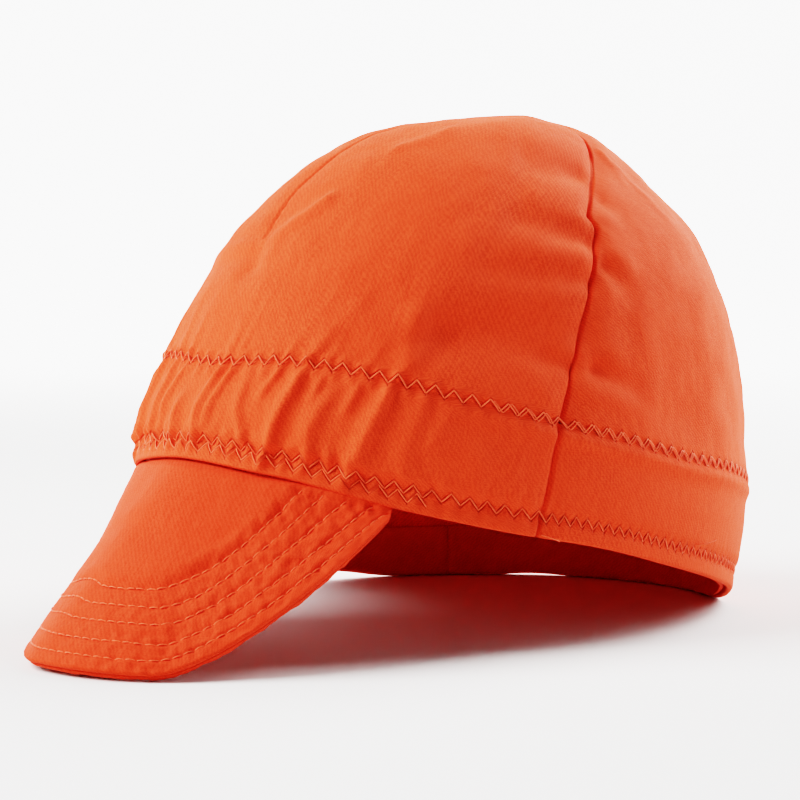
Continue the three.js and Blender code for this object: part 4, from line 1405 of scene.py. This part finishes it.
# %% Zigzag rows
THREAD_RADIUS = 0.21
THREAD_ARCH = 0.16
ROW_THREAD_ARCH = 0.3
NEEDLE_PLAY = 0.06  # share of the zigzag's height that the needle may be off
UPPER_TWICE = [62.0, 296.0]  # degrees: from just before one side seam to just past the other
ROW_END = 2  # mm before the whole turn that the second lower row stops


def crown_surface(angle, level):
    """Points on the dressed crown's outer face."""
    outer = crown_faces(angle, level)[0]
    back = np.abs(np.mod(angle, FULL_TURN) - FULL_TURN / 2) < FULL_TURN / 2 - seam_angle(level)
    outer[..., 1] += np.where(back, SEWN_GAP, 0.0)
    return outer


def zigzag(run, first, last, level_at, shift, seed):
    """Start and end points of a zigzag's legs between two lengths along a row."""
    draw = np.random.default_rng(seed)
    pitch = even_pitch(run)
    count = np.arange(int(2 * first / pitch), int(2 * last / pitch) + 1)
    places = count * pitch / 2 + shift
    angle = np.interp(places, run[1], run[0])
    side = np.where(count % 2, 0.5, -0.5)
    uneven = draw.uniform(-NEEDLE_PLAY, NEEDLE_PLAY, len(places))
    level = level_at(angle, ZIGZAG_HEIGHT * (side + uneven))
    points = crown_surface(angle, level)
    outs = way_out(angle, level)
    return points[:-1], points[1:], outs[:-1]


def upper_level(angle, offset):
    """The level that lies some millimetres above or below the upper row."""
    return UPPER_LEVEL + np.where(offset < 0, level_of_height(angle, offset), offset / LEVEL_OVER_BAND)


def lower_level(angle, offset):
    """The same for the lower row."""
    return level_of_height(angle, LOWER_ROW_HEIGHT + offset)


def second_lower_level(angle, offset):
    """The same for its second run, which lies a little lower."""
    return level_of_height(angle, LOWER_ROW_HEIGHT - SECOND_ROW_DROP + offset)


def sew_rows(name, rows, radius, arch):
    """Sews several rows as one piece."""
    starts, ends, outs = (np.concatenate(part) for part in zip(*rows))
    return sew(name, starts, ends, outs, radius, arch)


upper_whole, lower_whole = UPPER_RUN[1][-1], LOWER_RUN[1][-1]
upper_twice = np.interp(UPPER_TWICE, *UPPER_RUN)
lower_half = np.interp(TWICE_UP_TO, *LOWER_RUN)
upper_rows = [
    zigzag(UPPER_RUN, 0, upper_whole, upper_level, shift=0, seed=2),
    zigzag(UPPER_RUN, *upper_twice, upper_level, shift=SECOND_ROW_SHIFT, seed=3),
]
lower_rows = [
    zigzag(LOWER_RUN, 0, lower_whole, lower_level, shift=0, seed=4),
    zigzag(LOWER_RUN, 0, lower_half, second_lower_level, shift=SECOND_ROW_SHIFT, seed=6),
    zigzag(
        LOWER_RUN,
        lower_whole - lower_half,
        lower_whole - ROW_END,
        second_lower_level,
        shift=SECOND_ROW_SHIFT,
        seed=8,
    ),
]
upper_zigzag = sew_rows("upper_zigzag_thread", upper_rows, THREAD_RADIUS, THREAD_ARCH)
lower_zigzag = sew_rows("lower_zigzag_thread", lower_rows, THREAD_RADIUS, THREAD_ARCH)

# %% [markdown]
# ## Two loose ends
# Where a row was started or cut off, a short end of thread stands away from the cloth. Each is one
# long, thin stitch with a high arch.

# %% Loose thread ends
LOOSE_ENDS = [(70.5, 0.03, (3.5, 5.0, -2.2)), (107.0, 0.24, (3.0, 6.5, 1.4))]  # angle, level, way in mm
LOOSE_RADIUS, LOOSE_ARCH = 0.14, 1.1
loose_angles, loose_levels, loose_ways = (np.array(column) for column in zip(*LOOSE_ENDS))
loose_starts = crown_surface(loose_angles, loose_levels)
loose_outs = way_out(loose_angles, loose_levels)
loose_threads = sew(
    "loose_thread_ends", loose_starts, loose_starts + loose_ways, loose_outs, LOOSE_RADIUS, LOOSE_ARCH
)

# %% [markdown]
# ## Rows of running stitches on the bill
# The five rows keep their distance from the edge, so each row is found where the measured distance
# has its value, column by column, and is then cut into stitches of equal length. The same seam shows
# on the underside.

# %% Bill rows
STITCH_LENGTH = 2.9
STITCH_SPACE = 0.5
FIRST_STITCH = 0.4  # mm from the row's end


def row_path(distance):
    """Across and along at each column where the bill is a distance from its edge."""
    path = []
    for column, across in enumerate(bill_across):
        away = ROW_PLACE[column]
        if away[0] > distance:
            along = np.interp(-distance, -away, bill_along)
            path.append((across, along))
    return np.array(path)


def stitches_on(distance, offset_grid, upwards):
    """Starts, ends and ways out of the stitches along one row of the bill."""
    path = row_path(distance)
    across, along = path[:, 0], path[:, 1]
    column = np.interp(across, bill_across, np.arange(len(bill_across)))
    row = np.interp(along, bill_along, np.arange(len(bill_along)))
    low_column = np.clip(column.astype(int), 0, len(bill_across) - 2)
    low_row = np.clip(row.astype(int), 0, len(bill_along) - 2)
    offset = offset_grid[low_column, low_row]
    points = bill_point(across, along, offset)
    outs = bill_out(across, along) * upwards
    lengths = np.concatenate([[0], np.cumsum(np.linalg.norm(np.diff(points, axis=0), axis=1))])
    starts = np.arange(FIRST_STITCH, lengths[-1] - STITCH_LENGTH, STITCH_LENGTH + STITCH_SPACE)
    ends = starts + STITCH_LENGTH

    def at(places, values):
        """Values at some lengths along the row."""
        return np.stack([np.interp(places, lengths, values[:, axis]) for axis in range(3)], axis=-1)

    return at(starts, points), at(ends, points), at((starts + ends) / 2, outs)


bill_rows = [stitches_on(row, top_offset, 1.0) for row in BILL_STITCH_ROWS]
bill_rows += [stitches_on(row, under_offset, -1.0) for row in BILL_STITCH_ROWS]
bill_stitches = sew_rows("bill_stitch_rows_thread", bill_rows, THREAD_RADIUS, ROW_THREAD_ARCH)

# %% [markdown]
# ## What each piece stands for
# Every piece rides on the cap's one body, and each piece of cloth hides the solid that it stands for.
# The cap has no joint: cloth bends, and nothing in it turns.

# %% Pieces
dressed = {
    "crown_front": (crown_front, "crown_cloth"),
    "crown_back": (crown_back, "crown_cloth"),
    "hem_facing": (hem_facing, "facing_cloth"),
    "bill_top": (bill_top, "bill_cloth"),
    "bill_under": (bill_under, "bill_cloth"),
}
for node, (piece, slot_name) in dressed.items():
    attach(piece, "root")
    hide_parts(node)
for piece, slot_name in (
    (upper_zigzag, "crown_cloth"),
    (lower_zigzag, "crown_cloth"),
    (loose_threads, "crown_cloth"),
    (bill_stitches, "bill_cloth"),
):
    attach(piece, "root")

# %% [markdown]
# ## Table
# The cap lies on a pale sheet of card that curves up all round, so that no horizon shows from any
# side. Behind the cap the card glows a little, as a wall that has its own light. On the camera's side
# it is greyer, so that it throws less light back.

# %% Backdrop
CARD_FLAT = 1.6
CARD_TURN = 0.9
CARD_TOP = 1.6
CARD_SEGMENTS = 96
CARD_STEPS = 12

profile = [(0.0, 0.0), (CARD_FLAT, 0.0)]
for step in np.linspace(0, np.pi / 2, CARD_STEPS + 1)[1:]:
    profile.append((CARD_FLAT + CARD_TURN * np.sin(step), CARD_TURN * (1 - np.cos(step))))
profile.append((CARD_FLAT + CARD_TURN, CARD_TOP))
spins = np.linspace(0, 2 * np.pi, CARD_SEGMENTS, endpoint=False)
card_points = [(0.0, 0.0, 0.0)]
for radius, height in profile[1:]:
    card_points += [(radius * np.cos(spin), radius * np.sin(spin), height) for spin in spins]
card_faces = [(0, 1 + i, 1 + (i + 1) % CARD_SEGMENTS) for i in range(CARD_SEGMENTS)]
for ring in range(len(profile) - 2):
    low = 1 + ring * CARD_SEGMENTS
    for i in range(CARD_SEGMENTS):
        j = (i + 1) % CARD_SEGMENTS
        card_faces.append((low + i, low + CARD_SEGMENTS + i, low + CARD_SEGMENTS + j, low + j))
card_mesh = bpy.data.meshes.new("backdrop")
card_mesh.from_pydata(card_points, [], card_faces)
card_mesh.polygons.foreach_set("use_smooth", np.ones(len(card_mesh.polygons), bool))
card_mesh.update()
backdrop = in_scene("backdrop", card_mesh)
print("card:", len(card_faces), "faces")

# %% Card
CARD_WHITE, CARD_GREY = linear("#f1f0ef"), linear("#8a8a8c")
GLOW_FROM, GLOW_TO, GLOW = 0.5, 1.9, 1.6  # metres behind the cap, and the strength there
GREY_FROM, GREY_TO = -1.0, -0.4
card_finish = bpy.data.materials.new("matt_white_card")
card_finish.use_nodes = True
tree = card_finish.node_tree
card_shader = tree.nodes["Principled BSDF"]
card_shader.inputs["Base Color"].default_value = CARD_WHITE
card_shader.inputs["Roughness"].default_value = 1.0
card_shader.inputs["Specular IOR Level"].default_value = 0.0
card_shader.inputs["Emission Color"].default_value = linear("#ffffff")
card_mesh.materials.append(card_finish)
place = add(tree, "ShaderNodeTexCoord").outputs["Object"]
straight_back = {0: place, 1: (-sine, cosine, 0.0)}
behind = add(tree, "ShaderNodeVectorMath", {"operation": "DOT_PRODUCT"}, straight_back).outputs["Value"]
stops = {"Value": behind, "From Min": GLOW_FROM, "From Max": GLOW_TO, "To Max": GLOW}
glow = add(tree, "ShaderNodeMapRange", EASED, stops).outputs["Result"]
stops = {"Value": behind, "From Min": GREY_FROM, "From Max": GREY_TO}
fade = add(tree, "ShaderNodeMapRange", EASED, stops).outputs["Result"]
greys = {"Factor": fade, 6: CARD_GREY, 7: CARD_WHITE}
colour = add(tree, "ShaderNodeMix", COLOURS, greys).outputs[2]
tree.links.new(colour, card_shader.inputs["Base Color"])
tree.links.new(glow, card_shader.inputs["Emission Strength"])
print("card finish has", len(tree.nodes), "nodes")

# %% [markdown]
# ## Light
# A large soft light stands to the left of the camera and gives the highlights on the crown's front.
# A second one on the right, behind the cap, lights the back panel's edge. A weak one hangs overhead.

# %% Lights
EXPOSURE = 0.5
WORLD_LIGHT = 0.02
LIGHT_DISTANCE = 1.3
AIM_HEIGHT = 0.06
SOFTBOXES = [
    # name, degrees round from the camera, degrees up, side in metres, watts
    ("left_softbox", -78, 40, 0.95, 22.5),
    ("right_softbox", 122, 36, 1.0, 20),
    ("overhead_softbox", 0, 84, 0.9, 0.6),
]
scene = bpy.context.scene
scene.view_settings.view_transform = "Filmic"
scene.view_settings.look = "Very High Contrast"
scene.view_settings.exposure = EXPOSURE
world = bpy.data.worlds.new("studio")
scene.world = world
world.use_nodes = True
world.node_tree.nodes["Background"].inputs["Color"].default_value = linear("#ffffff")
world.node_tree.nodes["Background"].inputs["Strength"].default_value = WORLD_LIGHT

for name, azimuth, elevation, side, power in SOFTBOXES:
    turn = CAMERA_AZIMUTH + np.radians(azimuth)
    rise = np.radians(elevation)
    back = np.array([np.sin(turn) * np.cos(rise), -np.cos(turn) * np.cos(rise), np.sin(rise)])
    lamp = bpy.data.lights.new(name, "AREA")
    lamp.shape = "SQUARE"
    lamp.size = side
    lamp.energy = power
    softbox = in_scene(name, lamp)
    softbox.location = Vector((0.0, 0.0, AIM_HEIGHT)) + Vector(back) * LIGHT_DISTANCE
    softbox.rotation_mode = "QUATERNION"
    softbox.rotation_quaternion = Vector(-back).to_track_quat("-Z", "Y")
    print(name, "at", tuple(round(value, 2) for value in softbox.location))
